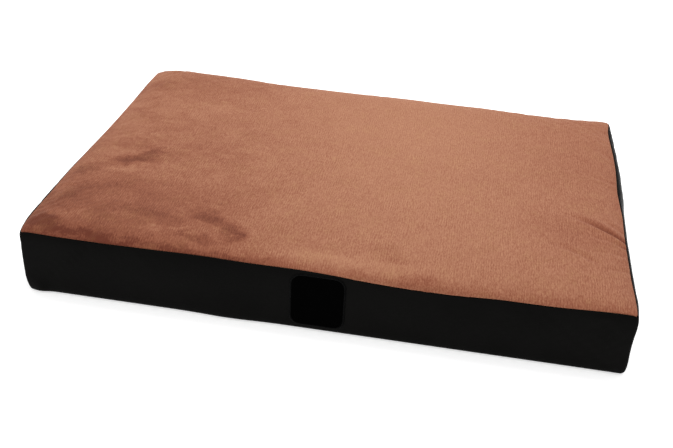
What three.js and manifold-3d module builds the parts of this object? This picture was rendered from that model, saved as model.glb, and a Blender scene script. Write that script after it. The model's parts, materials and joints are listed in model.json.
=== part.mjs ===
// Boxed foam pet bed with a removable zipped cover, as a three.js scene graph.
// Millimetres, +Z up. The origin is on the floor under the middle of the bed, the front wall
// faces -Y and the zip runs along the back wall, facing +Y.
import * as THREE from "three";
import { mergeVertices } from "three/addons/utils/BufferGeometryUtils.js";
import Module from "manifold-3d";

// ---- Driving dimensions ---------------------------------------------------------------------
const LENGTH = 1000; // over the bulge of the side walls
const DEPTH = 700; // over the bulge of the front and back walls
const SEAM_Z = 118; // height of the seam between the walls and the top panel
const CROWN = 11; // rise of the top panel above its seam
const CORNER_R = 16; // radius of the bed's vertical corners
const CORNER_STEPS = 6; // facets of each corner
const GAP = 0.3; // running gap between neighbouring pieces

const WALL_T = 2; // coated wall fabric with its scrim
const TOP_T = 2.5; // plush fabric with its pile
const BASE_T = 2.2; // non-slip base fabric
const BASE_FOAM_TOP = 82; // where the support foam ends and the memory foam starts

const BACK = DEPTH / 2; // the back wall's widest point; the zip's depths are given from it
const ZIP_Z = 48; // height of the zip's centre line
const TAPE_Y = BACK - 8; // inner face of the zip tape
const TAPE_T = 0.7;
const TAPE_HALF = 469; // half the tape's length
const TAPE_W = 14.8;
const TAPE_SLOT = 2.4; // between the two tapes' edges
const COIL_Y = BACK - 7; // inner face of the coil
const COIL_T = 2;
const COIL_W = 2.7;
const COIL_SLOT = 1; // between the two coils' inner sides
const COIL_HALF = 462;
const STRIP_HALF = 469.8; // half the length of the two back strips
const FOAM_BACK_Y = BACK - 10; // flat back face of both foams

const TAB_LENGTH = 28; // end tabs, which the slider runs up to
const TAB_Y = BACK - 4.15; // inner face of the tabs
const TAB_T = 1.05;
const SLIDER_HALF = 7;
const SLIDER_X = STRIP_HALF - TAB_LENGTH - SLIDER_HALF - 1; // where the zip is fully closed
const SLIDER_Y = BACK - 3.25; // outer face of the slider's front plate
const HINGE_Y = BACK - 2.35; // axis of the pull tab, through the slider's bridge
const PULL_T = 1.1;
const PULL_L = 31;
const PULL_W = 7;

// ---- Materials ------------------------------------------------------------------------------
const material = (color, roughness, metalness = 0) =>
  new THREE.MeshStandardMaterial({ color, roughness, metalness });
const plush = material(0xaa745c, 0.9);
const coatedFabric = material(0x161514, 0.5);
const gripFabric = material(0x1b1b1c, 0.85);
const supportFoam = material(0xd9d4c6, 0.95);
const memoryFoam = material(0xe9e2c4, 0.95);
const zipTape = material(0x101011, 0.9);
const nylonCoil = material(0x131314, 0.45);
const blackNickel = material(0x3b3b3d, 0.32, 1);
const labelFabric = material(0x050505, 0.9);
const satinLabel = material(0xe8e6e0, 0.6);

// ---- Boolean helpers ------------------------------------------------------------------------
const wasm = await Module();
wasm.setup();

function toSolid(geometry) {
  const bare = geometry.index ? geometry.toNonIndexed() : geometry.clone();
  bare.deleteAttribute("normal");
  bare.deleteAttribute("uv");
  const merged = mergeVertices(bare, 1e-4);
  return new wasm.Manifold(
    new wasm.Mesh({
      numProp: 3,
      vertProperties: new Float32Array(merged.attributes.position.array),
      triVerts: new Uint32Array(merged.index.array),
    }),
  );
}

function toGeometry(solid) {
  const mesh = solid.getMesh();
  const positions = new Float32Array(mesh.numVert * 3);
  for (let i = 0; i < mesh.numVert; i++)
    positions.set(
      mesh.vertProperties.subarray(i * mesh.numProp, i * mesh.numProp + 3),
      i * 3,
    );
  const geometry = new THREE.BufferGeometry();
  geometry.setAttribute("position", new THREE.BufferAttribute(positions, 3));
  geometry.setIndex(new THREE.BufferAttribute(new Uint32Array(mesh.triVerts), 1));
  geometry.computeVertexNormals();
  return geometry;
}

// ---- Outlines and lofts ---------------------------------------------------------------------
// A rounded rectangle seen from above, anticlockwise, always with the same number of points.
function outline(x0, x1, y0, y1, r) {
  const points = [];
  const corners = [
    [x1 - r, y0 + r, -90],
    [x1 - r, y1 - r, 0],
    [x0 + r, y1 - r, 90],
    [x0 + r, y0 + r, 180],
  ];
  for (const [cx, cy, start] of corners)
    for (let i = 0; i <= CORNER_STEPS; i++) {
      const a = THREE.MathUtils.degToRad(start + (90 * i) / CORNER_STEPS);
      points.push(new THREE.Vector2(cx + r * Math.cos(a), cy + r * Math.sin(a)));
    }
  return points;
}

// The bed's outline moved inwards by inset; the corners open up as it shrinks.
const bedOutline = (inset, backY = DEPTH / 2 - inset) =>
  outline(
    -LENGTH / 2 + inset,
    LENGTH / 2 - inset,
    -DEPTH / 2 + inset,
    Math.min(DEPTH / 2 - inset, backY),
    CORNER_R - Math.min(inset, 6) + 0.6 * Math.max(0, inset - 6),
  );

// A surface through rings of points at stated heights. An open stack is capped at both ends;
// a closed one returns to its first ring, which makes a tube.
function loft(rings, closed = false) {
  const n = rings[0].points.length;
  const position = [];
  for (const { points, z } of rings)
    for (const p of points) position.push(p.x, p.y, z);
  const index = [];
  const last = closed ? rings.length : rings.length - 1;
  for (let k = 0; k < last; k++) {
    const a = k * n;
    const b = ((k + 1) % rings.length) * n;
    for (let i = 0; i < n; i++) {
      const j = (i + 1) % n;
      index.push(a + i, a + j, b + j, a + i, b + j, b + i);
    }
  }
  if (!closed) {
    const cap = (k, up) => {
      for (const [p, q, r] of THREE.ShapeUtils.triangulateShape(rings[k].points, []))
        index.push(...(up ? [p, q, r] : [p, r, q]).map((v) => v + k * n));
    };
    cap(0, false);
    cap(rings.length - 1, true);
  }
  const geometry = new THREE.BufferGeometry();
  geometry.setAttribute("position", new THREE.Float32BufferAttribute(position, 3));
  geometry.setIndex(index);
  geometry.computeVertexNormals();
  return geometry;
}

// A polygon drawn in plan and extruded upwards.
function prism(points, z0, z1) {
  const shape = new THREE.Shape(points.map(([x, y]) => new THREE.Vector2(x, y)));
  const geometry = new THREE.ExtrudeGeometry(shape, { depth: z1 - z0, bevelEnabled: false });
  geometry.translate(0, 0, z0);
  return geometry;
}

// A cross-section drawn in Y and Z and extruded along X, centred on x = 0.
function alongX(points, length) {
  const shape = new THREE.Shape(points.map(([y, z]) => new THREE.Vector2(y, z)));
  const geometry = new THREE.ExtrudeGeometry(shape, { depth: length, bevelEnabled: false });
  // Shape x becomes Y, shape y becomes Z and the extrusion becomes X.
  geometry.applyMatrix4(
    new THREE.Matrix4().makeBasis(
      new THREE.Vector3(0, 1, 0),
      new THREE.Vector3(0, 0, 1),
      new THREE.Vector3(1, 0, 0),
    ),
  );
  geometry.translate(-length / 2, 0, 0);
  return geometry;
}

// A shape drawn in X and Z and extruded along Y from y0 to y1.
function alongY(shape, y0, y1, curveSegments = 6) {
  const geometry = new THREE.ExtrudeGeometry(shape, {
    depth: y1 - y0,
    bevelEnabled: false,
    curveSegments,
  });
  geometry.rotateX(Math.PI / 2); // shape y becomes Z, the extrusion runs towards -Y
  geometry.translate(0, y1, 0);
  return geometry;
}

function roundedRect(x0, x1, z0, z1, r) {
  const s = new THREE.Shape();
  s.moveTo(x0 + r, z0);
  s.lineTo(x1 - r, z0);
  s.absarc(x1 - r, z0 + r, r, -Math.PI / 2, 0, false);
  s.lineTo(x1, z1 - r);
  s.absarc(x1 - r, z1 - r, r, 0, Math.PI / 2, false);
  s.lineTo(x0 + r, z1);
  s.absarc(x0 + r, z1 - r, r, Math.PI / 2, Math.PI, false);
  s.lineTo(x0, z0 + r);
  s.absarc(x0 + r, z0 + r, r, Math.PI, 1.5 * Math.PI, false);
  return s;
}

// ---- The walls' section: [inset from the widest point, height] -------------------------------
const WALL = [
  [8, BASE_T + GAP],
  [4.6, 6],
  [2.2, 12],
  [0.7, 24],
  [0, 46],
  [0, 72],
  [0.5, 93],
  [1.5, 108],
  [3, SEAM_Z - TOP_T - GAP],
];
const wallInset = (z) => {
  for (let i = 1; i < WALL.length; i++)
    if (z <= WALL[i][1]) {
      const t = (z - WALL[i - 1][1]) / (WALL[i][1] - WALL[i - 1][1]);
      return THREE.MathUtils.lerp(WALL[i - 1][0], WALL[i][0], Math.max(0, t));
    }
  return WALL[WALL.length - 1][0];
};

// ---- Top panel: a thin crowned sheet ----------------------------------------------------------
const SEAM_INSET = 3;
const PLATEAU = 100; // inset of the flat middle from the seam
const crownZ = (d) =>
  SEAM_Z + (CROWN * (1 - Math.exp(-d / 28))) / (1 - Math.exp(-PLATEAU / 28));
const CROWN_D = [0, 4, 9, 16, 26, 40, 62, PLATEAU];

function topPanel() {
  const rings = [];
  for (const d of [...CROWN_D].reverse())
    rings.push({ points: bedOutline(SEAM_INSET + d), z: crownZ(d) - TOP_T });
  for (const d of CROWN_D)
    rings.push({ points: bedOutline(SEAM_INSET + d), z: crownZ(d) });
  return loft(rings);
}

// ---- Walls --------------------------------------------------------------------------------------
const wallTube = toSolid(
  loft(
    [
      ...WALL.map(([inset, z]) => ({ points: bedOutline(inset), z })),
      ...[...WALL].reverse().map(([inset, z]) => ({ points: bedOutline(inset + WALL_T), z })),
    ],
    true,
  ),
);
// The front corners are seamed on their mitre; the side walls turn the back corners.
const MITRE = LENGTH / 2 - DEPTH / 2;
const half = GAP / 2;
const frontRegion = prism(
  [
    [-(MITRE + 445), -445 - half],
    [MITRE + 445, -445 - half],
    [MITRE + 75, -75 - half],
    [-(MITRE + 75), -75 - half],
  ],
  -10,
  200,
);
const rightRegion = prism(
  [
    [MITRE + 445, -445 + half],
    [MITRE + 445, 420],
    [STRIP_HALF + 0.4, 420],
    [STRIP_HALF + 0.4, 150],
    [MITRE + 75, -75 + half],
  ],
  -10,
  200,
);
const leftRegion = toGeometry(toSolid(rightRegion).mirror([1, 0, 0]));
const cutWall = (region) => toGeometry(wallTube.intersect(toSolid(region)));

// Two strips stand in for the back wall, each drawn in to the zip along one edge.
const strip = (section) => [
  ...section.map(([inset, z]) => [BACK - inset, z]),
  ...[...section].reverse().map(([inset, z]) => [BACK - inset - WALL_T, z]),
];
const upperStrip = strip([
  [4.9, ZIP_Z + 6.6],
  [3, ZIP_Z + 11],
  [0.8, ZIP_Z + 20],
  [0, 80],
  [0.5, 93],
  [1.5, 108],
  [3, SEAM_Z - TOP_T - GAP],
]);
const lowerStrip = strip([
  [8, BASE_T + GAP],
  [4.6, 6],
  [2.2, 12],
  [0.9, 20],
  [1, ZIP_Z - 20],
  [3, ZIP_Z - 11],
  [4.9, ZIP_Z - 6.6],
]);

// ---- Foam: two bonded slabs --------------------------------------------------------------------
const foamInset = (z) => wallInset(z) + WALL_T + GAP;
const foamRing = (z) => ({ points: bedOutline(foamInset(z), FOAM_BACK_Y), z });
const supportSlab = () =>
  loft([BASE_T + GAP, 6, 12, 24, 46, 72, BASE_FOAM_TOP - half].map(foamRing));
function memorySlab() {
  const rings = [BASE_FOAM_TOP + half, 93, 108, SEAM_Z - TOP_T - GAP - 0.8].map(foamRing);
  for (const d of CROWN_D.slice(1))
    rings.push({
      points: bedOutline(SEAM_INSET + d + 1.2, FOAM_BACK_Y - d),
      z: crownZ(d) - TOP_T - GAP,
    });
  return loft(rings);
}

// ---- Zip ----------------------------------------------------------------------------------------
const tape = (z0, z1) => {
  const g = new THREE.BoxGeometry(2 * TAPE_HALF, TAPE_T, z1 - z0);
  g.translate(0, TAPE_Y + TAPE_T / 2, (z0 + z1) / 2);
  return g;
};
// A half of the closed coil: a bar with rounded outer shoulders.
const coil = (side) => {
  const a = ZIP_Z + (side * COIL_SLOT) / 2;
  const b = a + side * COIL_W;
  const y0 = COIL_Y;
  const y1 = COIL_Y + COIL_T;
  const section = [
    [y0, a],
    [y1 - 0.3, a],
    [y1, a + side * 0.4],
    [y1, b - side * 0.7],
    [y1 - 0.5, b - side * 0.15],
    [y0 + 0.4, b],
    [y0, b - side * 0.3],
  ];
  return alongX(section, 2 * COIL_HALF);
};

// The slider in its own frame: x along the zip with the nose at +x, z across it, y outwards.
function sliderGeometry() {
  const plan = new THREE.Shape();
  plan.moveTo(-7, -4.2);
  plan.lineTo(-1.5, -4.3);
  plan.quadraticCurveTo(1.5, -5.2, 4.2, -5.3);
  plan.quadraticCurveTo(7, -5.3, 7, -2.6);
  plan.lineTo(6.2, 0);
  plan.lineTo(7, 2.6);
  plan.quadraticCurveTo(7, 5.3, 4.2, 5.3);
  plan.quadraticCurveTo(1.5, 5.2, -1.5, 4.3);
  plan.lineTo(-7, 4.2);
  plan.closePath();
  const block = toSolid(alongY(plan, -6.3, 0, 4));
  const cut = (x, y0, y1, z0, z1) => {
    const g = new THREE.BoxGeometry(x, y1 - y0, z1 - z0);
    g.translate(0, (y0 + y1) / 2, (z0 + z1) / 2);
    return toSolid(g);
  };
  // The channel for the two coils, and the slots that the tapes leave through.
  const channel = cut(20, -5.3, -1.2, -3.7, 3.7);
  const slots = cut(20, -5.3, -3.5, -8, 8);
  // The divider stands in the slot between the two coils, at the nose.
  const divider = new THREE.BoxGeometry(4.4, 5.9, 0.4);
  divider.translate(3.6, -3.15, 0);
  // The bridge that the pull tab hangs from.
  const bridge = new THREE.Shape();
  bridge.moveTo(-4.6, -0.4);
  bridge.lineTo(-4.6, 1.5);
  bridge.quadraticCurveTo(-4.4, 2.9, -2.6, 2.9);
  bridge.lineTo(2.6, 2.9);
  bridge.quadraticCurveTo(4.4, 2.9, 4.6, 1.5);
  bridge.lineTo(4.6, -0.4);
  bridge.closePath();
  const windowHole = new THREE.Path();
  windowHole.moveTo(-3.2, 0);
  windowHole.lineTo(3.2, 0);
  windowHole.lineTo(3.2, 1.5);
  windowHole.lineTo(2.9, 1.8);
  windowHole.lineTo(-2.9, 1.8);
  windowHole.lineTo(-3.2, 1.5);
  windowHole.closePath();
  bridge.holes.push(windowHole);
  const arch = new THREE.ExtrudeGeometry(bridge, {
    depth: 2.6,
    bevelEnabled: false,
    curveSegments: 4,
  });
  arch.translate(0, 0, -1.3);
  return toGeometry(
    block.subtract(channel).subtract(slots).add(toSolid(divider)).add(toSolid(arch)),
  );
}

// The pull tab in its own frame: the axis of its cross bar is Z through the origin, and the tab
// lies towards -x.
function pullGeometry() {
  const s = new THREE.Shape();
  const w = PULL_W / 2;
  s.moveTo(PULL_T / 2, -2.9);
  s.lineTo(PULL_T / 2, 2.9);
  s.lineTo(-5, 2.9);
  s.lineTo(-8.5, w);
  s.lineTo(-PULL_L + w, w);
  s.absarc(-PULL_L + w, 0, w, Math.PI / 2, 1.5 * Math.PI, false);
  s.lineTo(-8.5, -w);
  s.lineTo(-5, -2.9);
  s.closePath();
  const eye = new THREE.Path();
  eye.moveTo(-PULL_T / 2, -1.7);
  eye.lineTo(-PULL_T / 2, 1.7);
  eye.lineTo(-5.6, 1.7);
  eye.lineTo(-5.6, -1.7);
  eye.closePath();
  s.holes.push(eye);
  return alongY(s, -PULL_T / 2, PULL_T / 2, 8);
}

// ---- Scene graph --------------------------------------------------------------------------------
const bed = new THREE.Group();
function piece(name, geometry, surface, parent = bed) {
  const mesh = new THREE.Mesh(geometry, surface);
  mesh.name = name;
  parent.add(mesh);
  return mesh;
}

const outer = new THREE.Group(); // the removable cover
bed.add(outer);
piece("top_panel", topPanel(), plush, outer);
piece("front_wall", cutWall(frontRegion), coatedFabric, outer);
piece("right_wall", cutWall(rightRegion), coatedFabric, outer);
piece("left_wall", cutWall(leftRegion), coatedFabric, outer);
piece("back_wall_upper", alongX(upperStrip, 2 * STRIP_HALF), coatedFabric, outer);
piece("back_wall_lower", alongX(lowerStrip, 2 * STRIP_HALF), coatedFabric, outer);
piece(
  "bottom_panel",
  loft([
    { points: bedOutline(8), z: 0 },
    { points: bedOutline(8), z: BASE_T },
  ]),
  gripFabric,
  outer,
);

const label = alongY(roundedRect(-45, 45, -49, 49, 18), 0, 1.2, 6);
piece("front_label", label, labelFabric, outer).position.set(5, -DEPTH / 2 - GAP - 1.2, 61);

const core = new THREE.Group(); // what the cover holds
bed.add(core);
piece("foam_base", supportSlab(), supportFoam, core);
piece("foam_topper", memorySlab(), memoryFoam, core);

const zip = new THREE.Group();
bed.add(zip);
const slotHalf = TAPE_SLOT / 2;
piece("zip_tape_upper", tape(ZIP_Z + slotHalf, ZIP_Z + slotHalf + TAPE_W), zipTape, zip);
piece("zip_tape_lower", tape(ZIP_Z - slotHalf - TAPE_W, ZIP_Z - slotHalf), zipTape, zip);
piece("zip_coil_upper", coil(1), nylonCoil, zip);
piece("zip_coil_lower", coil(-1), nylonCoil, zip);

// Folded tabs close over the two ends of the zip and stop the slider.
for (const [name, side] of [
  ["zip_end_tab_right", 1],
  ["zip_end_tab_left", -1],
]) {
  const tab = alongY(roundedRect(-TAB_LENGTH / 2, TAB_LENGTH / 2, -7.6, 7.6, 2), 0, TAB_T, 3);
  const x = side * (STRIP_HALF - TAB_LENGTH / 2);
  piece(name, tab, coatedFabric, zip).position.set(x, TAB_Y, ZIP_Z);
}

const slider = new THREE.Group();
slider.position.set(SLIDER_X, SLIDER_Y, ZIP_Z);
zip.add(slider);
piece("zip_slider", sliderGeometry(), blackNickel, slider);
const pull = piece("zip_pull", pullGeometry(), blackNickel, slider);
pull.position.y = HINGE_Y - SLIDER_Y;

// A blank care label, caught in the seam at the left end of the back wall.
const care = alongY(roundedRect(-18, 18, -12, 12, 0.8), 0, 0.5, 2);
piece("care_label", care, satinLabel, outer).position.set(-STRIP_HALF + 19, BACK + GAP, 22);

export default bed;
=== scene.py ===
import json
import math

import bpy
import numpy as np
from mathutils import Matrix, Vector

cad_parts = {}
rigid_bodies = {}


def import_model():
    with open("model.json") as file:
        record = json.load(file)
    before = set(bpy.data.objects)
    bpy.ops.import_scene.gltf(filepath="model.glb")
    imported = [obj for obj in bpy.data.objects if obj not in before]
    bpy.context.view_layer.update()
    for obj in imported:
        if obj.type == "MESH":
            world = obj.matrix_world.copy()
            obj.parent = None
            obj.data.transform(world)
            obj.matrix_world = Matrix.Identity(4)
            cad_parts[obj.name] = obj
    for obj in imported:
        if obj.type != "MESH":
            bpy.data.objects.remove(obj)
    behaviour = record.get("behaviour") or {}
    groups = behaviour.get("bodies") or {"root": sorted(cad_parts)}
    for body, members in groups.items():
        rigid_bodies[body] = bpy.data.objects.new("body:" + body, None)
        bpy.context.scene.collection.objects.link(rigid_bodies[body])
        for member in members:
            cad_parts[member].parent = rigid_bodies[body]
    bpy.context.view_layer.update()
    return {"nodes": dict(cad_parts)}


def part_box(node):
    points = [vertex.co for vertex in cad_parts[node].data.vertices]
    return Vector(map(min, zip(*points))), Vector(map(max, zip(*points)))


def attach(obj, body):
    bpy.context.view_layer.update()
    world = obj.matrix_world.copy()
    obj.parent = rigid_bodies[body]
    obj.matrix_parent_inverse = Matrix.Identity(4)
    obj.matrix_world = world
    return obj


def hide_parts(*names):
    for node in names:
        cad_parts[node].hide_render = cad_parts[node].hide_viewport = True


for o in list(bpy.data.objects):
    bpy.data.objects.remove(o)

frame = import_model()

MM = 0.001

# ------------------------------------------------------------------------------------------------
# Dimensions, from the frame
# ------------------------------------------------------------------------------------------------
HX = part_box("right_wall")[1].x  # half length, at the wall's bulge
HY = -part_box("front_wall")[0].y  # half depth
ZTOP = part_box("top_panel")[1].z  # crown
ZSEAM = ZTOP - 11 * MM
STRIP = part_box("back_wall_upper")[1].x  # half length of the back strips
ZIP_Z = (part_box("zip_coil_upper")[0].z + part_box("zip_coil_lower")[1].z) / 2


# ------------------------------------------------------------------------------------------------
# Small numeric helpers
# ------------------------------------------------------------------------------------------------
def sstep(x, a, b):
    t = np.clip((np.asarray(x, float) - a) / (b - a), 0, 1)
    return t * t * (3 - 2 * t)


def curve(x, xs, ys):
    """A smooth curve through the given points, with zero overshoot at its ends."""
    x, xs, ys = np.asarray(x, float), np.asarray(xs, float), np.asarray(ys, float)
    m = np.gradient(ys, xs)
    m[0] = m[-1] = 0
    i = np.clip(np.searchsorted(xs, x) - 1, 0, len(xs) - 2)
    h = xs[i + 1] - xs[i]
    t = np.clip((x - xs[i]) / h, 0, 1)
    return (
        (2 * t**3 - 3 * t**2 + 1) * ys[i]
        + (t**3 - 2 * t**2 + t) * h * m[i]
        + (-2 * t**3 + 3 * t**2) * ys[i + 1]
        + (t**3 - t**2) * h * m[i + 1]
    )


def bump(x, c, w):
    return np.exp(-(((np.asarray(x, float) - c) / w) ** 2))


_rng = np.random.default_rng(7)
_PERM = _rng.permutation(512)
_GRAD = _rng.normal(size=(512, 3))
_GRAD /= np.linalg.norm(_GRAD, axis=1)[:, None]


def noise3(p):
    """Gradient noise, about -1 to 1, at points p of shape (..., 3)."""
    p = np.asarray(p, float)
    i = np.floor(p).astype(int)
    f = p - i
    w = f * f * f * (f * (f * 6 - 15) + 10)
    total = 0
    for dx in (0, 1):
        for dy in (0, 1):
            for dz in (0, 1):
                h = _PERM[(i[..., 0] + dx) % 512]
                h = _PERM[(h + i[..., 1] + dy) % 512]
                h = _PERM[(h + i[..., 2] + dz) % 512]
                g = _GRAD[h]
                d = f - np.array([dx, dy, dz])
                k = (
                    (w[..., 0] if dx else 1 - w[..., 0])
                    * (w[..., 1] if dy else 1 - w[..., 1])
                    * (w[..., 2] if dz else 1 - w[..., 2])
                )
                total = total + k * (g * d).sum(-1)
    return total * 1.7


def graded(a, b, step, fine, zone, grow=1.22):
    """Stations from a to b: fine spacing at both ends, growing to step inside."""
    left, s, x = [a], fine, a
    while x < a + zone and s < step:
        x += s
        left.append(x)
        s *= grow
    right = [a + b - v for v in left][::-1]
    n = max(1, int(round((right[0] - left[-1]) / step)))
    return np.array(left[:-1] + list(np.linspace(left[-1], right[0], n + 1)) + right[1:])


# ------------------------------------------------------------------------------------------------
# The bed's section: (inset from the widest point, height) in mm, from the middle of the top, over
# the edge and down the wall. sigma is the length along it, 0 at the nominal seam, + down the wall.
# ------------------------------------------------------------------------------------------------
_SECTION = np.array(
    [
        (160, 129.0), (112, 129.0), (84, 128.7), (62, 128.0), (43, 126.6), (29, 124.7), (18, 122.3),
        (11, 120.2), (6.8, 118.3), (4.2, 115.9), (2.7, 112.4), (1.6, 107), (0.5, 93), (0, 72),
        (0, 46), (0.3, 24), (0.9, 13), (2.1, 6.6), (4.0, 3.0), (6.6, 1.0),
    ]
)


def _dense(points, n=4000):
    k = np.concatenate([[0], np.cumsum(np.linalg.norm(np.diff(points, axis=0), axis=1))])
    t = np.linspace(0, k[-1], n)
    m = np.gradient(points, k, axis=0)
    i = np.clip(np.searchsorted(k, t) - 1, 0, len(k) - 2)
    h = (k[i + 1] - k[i])[:, None]
    u = ((t - k[i]) / (k[i + 1] - k[i]))[:, None]
    return (
        (2 * u**3 - 3 * u**2 + 1) * points[i]
        + (u**3 - 2 * u**2 + u) * h * m[i]
        + (-2 * u**3 + 3 * u**2) * points[i + 1]
        + (u**3 - u**2) * h * m[i + 1]
    )


_D = _dense(_SECTION)
_ARC = np.concatenate([[0], np.cumsum(np.linalg.norm(np.diff(_D, axis=0), axis=1))])
_ZERO = np.interp(-116.4, -_D[:, 1], _ARC)  # the nominal seam
_SIG = _ARC - _ZERO
SIG_IN = _SIG[0]
SIG_BOTTOM = np.interp(-1.9, -_D[:, 1], _SIG)


def inset(sig):
    """Inset in mm at sigma in mm; straight on beyond the drawn section."""
    return np.where(sig < SIG_IN, _D[0, 0] + (SIG_IN - sig), np.interp(sig, _SIG, _D[:, 0]))


def height(sig):
    return np.where(sig < SIG_IN, 129.0, np.interp(sig, _SIG, _D[:, 1]))


def sigma_at(z):
    return float(np.interp(-z, -_D[:, 1], _SIG))


C0 = float(inset(-400.0)) - 400.0
LX = HX / MM - C0  # half the top panel's cut length, seam to seam over its edge
LY = HY / MM - C0


# How far the seam has been dragged down the wall (+) or up onto the top (-), in mm
def sig_front(x):
    return curve(
        x,
        [-LX, -440, -356, -271, -188, -106, -25, 30, 80, 134, 181, 225, 289, 350, 400, 440, 470, LX],
        [0, 1.3, 2.0, 0.6, -0.6, 1.1, 0.9, 3.0, 6.4, 8.3, 8.7, 7.8, 4.6, 4.6, 3.2, 1.5, 0.6, 0],
    )


def sig_back(x):
    return curve(x, [-LX, -300, -100, 60, 200, 350, LX], [0, 1.0, -1.2, 0.6, -1.5, 0.8, 0])


def sig_left(y):
    return curve(y, [-LY, -300, -220, -140, -60, 20, 130, 240, LY], [0, -2.0, -3.2, -1.6, -0.6, 0.2, 0.7, -0.6, 0])


def sig_right(y):
    return curve(
        y, [-LY, -310, -279, -230, -192, -136, -95, -54, 0, 34, 82, 131, 183, 237, 293, LY],
        [0, -0.6, -1.8, -2.8, -2.6, -2.6, -1.8, -2.0, -3.8, -5.4, -4.8, -4.4, -4.6, -5.4, -4.6, 0],
    )


P_EDGE = 3.4


def top_square(xp, yp):
    """The top panel before its corners are rounded. xp, yp in mm on the panel, as cut."""
    eL, eR, eF, eB = xp + LX, LX - xp, yp + LY, LY - yp
    fade = lambda e: 1 - sstep(e, 0, 110)
    left, front = xp < 0, yp < 0
    sx = np.where(left, -eL + sig_left(yp) * fade(eL), -eR + sig_right(yp) * fade(eR))
    sy = np.where(front, -eF + sig_front(xp) * fade(eF), -eB + sig_back(xp) * fade(eB))
    X = (HX / MM - inset(sx)) * np.where(left, -1, 1)
    Y = (HY / MM - inset(sy)) * np.where(front, -1, 1)
    dx, dy = 129 - height(sx), 129 - height(sy)
    Z = 129 - (np.maximum(dx, 0) ** P_EDGE + np.maximum(dy, 0) ** P_EDGE) ** (1 / P_EDGE)
    return np.stack([X, Y, Z], -1)


def corner_radius(P):
    """The plan radius at the nearest corner: the one behind on the left is the softest."""
    left, back = P[..., 0] < 0, P[..., 1] > 0
    return np.where(left & back, 16.0, np.where(left, 4.6, np.where(back, 3.0, 4.6)))


def round_plan(P, hx, hy, r=None):
    r = corner_radius(P) if r is None else r
    ax = (np.abs(P[..., 0]) - (hx - r)) / r
    ay = (np.abs(P[..., 1]) - (hy - r)) / r
    both = (ax > 0) & (ay > 0)
    n = np.sqrt(ax**2 + ay**2) + 1e-12
    k = np.where(both, np.maximum(ax, ay) / n, 1)
    X = np.where(both, np.sign(P[..., 0]) * ((hx - r) + r * ax * k), P[..., 0])
    Y = np.where(both, np.sign(P[..., 1]) * ((hy - r) + r * ay * k), P[..., 1])
    return np.stack([X, Y, P[..., 2]], -1)


def wall_square(side, t, sig):
    """A wall at stations t (mm along the seam as cut) and sigma; broadcast together."""
    t, sig = np.broadcast_arrays(t, sig)
    if side in ("front", "back"):
        s = -1 if side == "front" else 1
        seam = top_square(t, np.full(t.shape, s * LY))
        s0 = (sig_front if s < 0 else sig_back)(t)
        scale = (HX / MM - inset(sig)) / (HX / MM - inset(s0))
        X, Y = seam[..., 0] * scale, s * (HY / MM - inset(sig))
    else:
        s = -1 if side == "left" else 1
        seam = top_square(np.full(t.shape, s * LX), t)
        s0 = (sig_left if s < 0 else sig_right)(t)
        scale = (HY / MM - inset(sig)) / (HY / MM - inset(s0))
        X, Y = s * (HX / MM - inset(sig)), seam[..., 1] * scale
    k = (sig - s0) / (SIG_BOTTOM - s0)
    Z = height(sig) + (seam[..., 2] - height(s0)) * (1 - sstep(k, 0, 0.6))
    P = np.stack([X, Y, Z], -1)
    return round_plan(P, HX / MM - inset(sig), HY / MM - inset(sig))


def top_round(xp, yp):
    h = inset(0.0)
    return round_plan(top_square(xp, yp), HX / MM - h, HY / MM - h)


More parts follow.
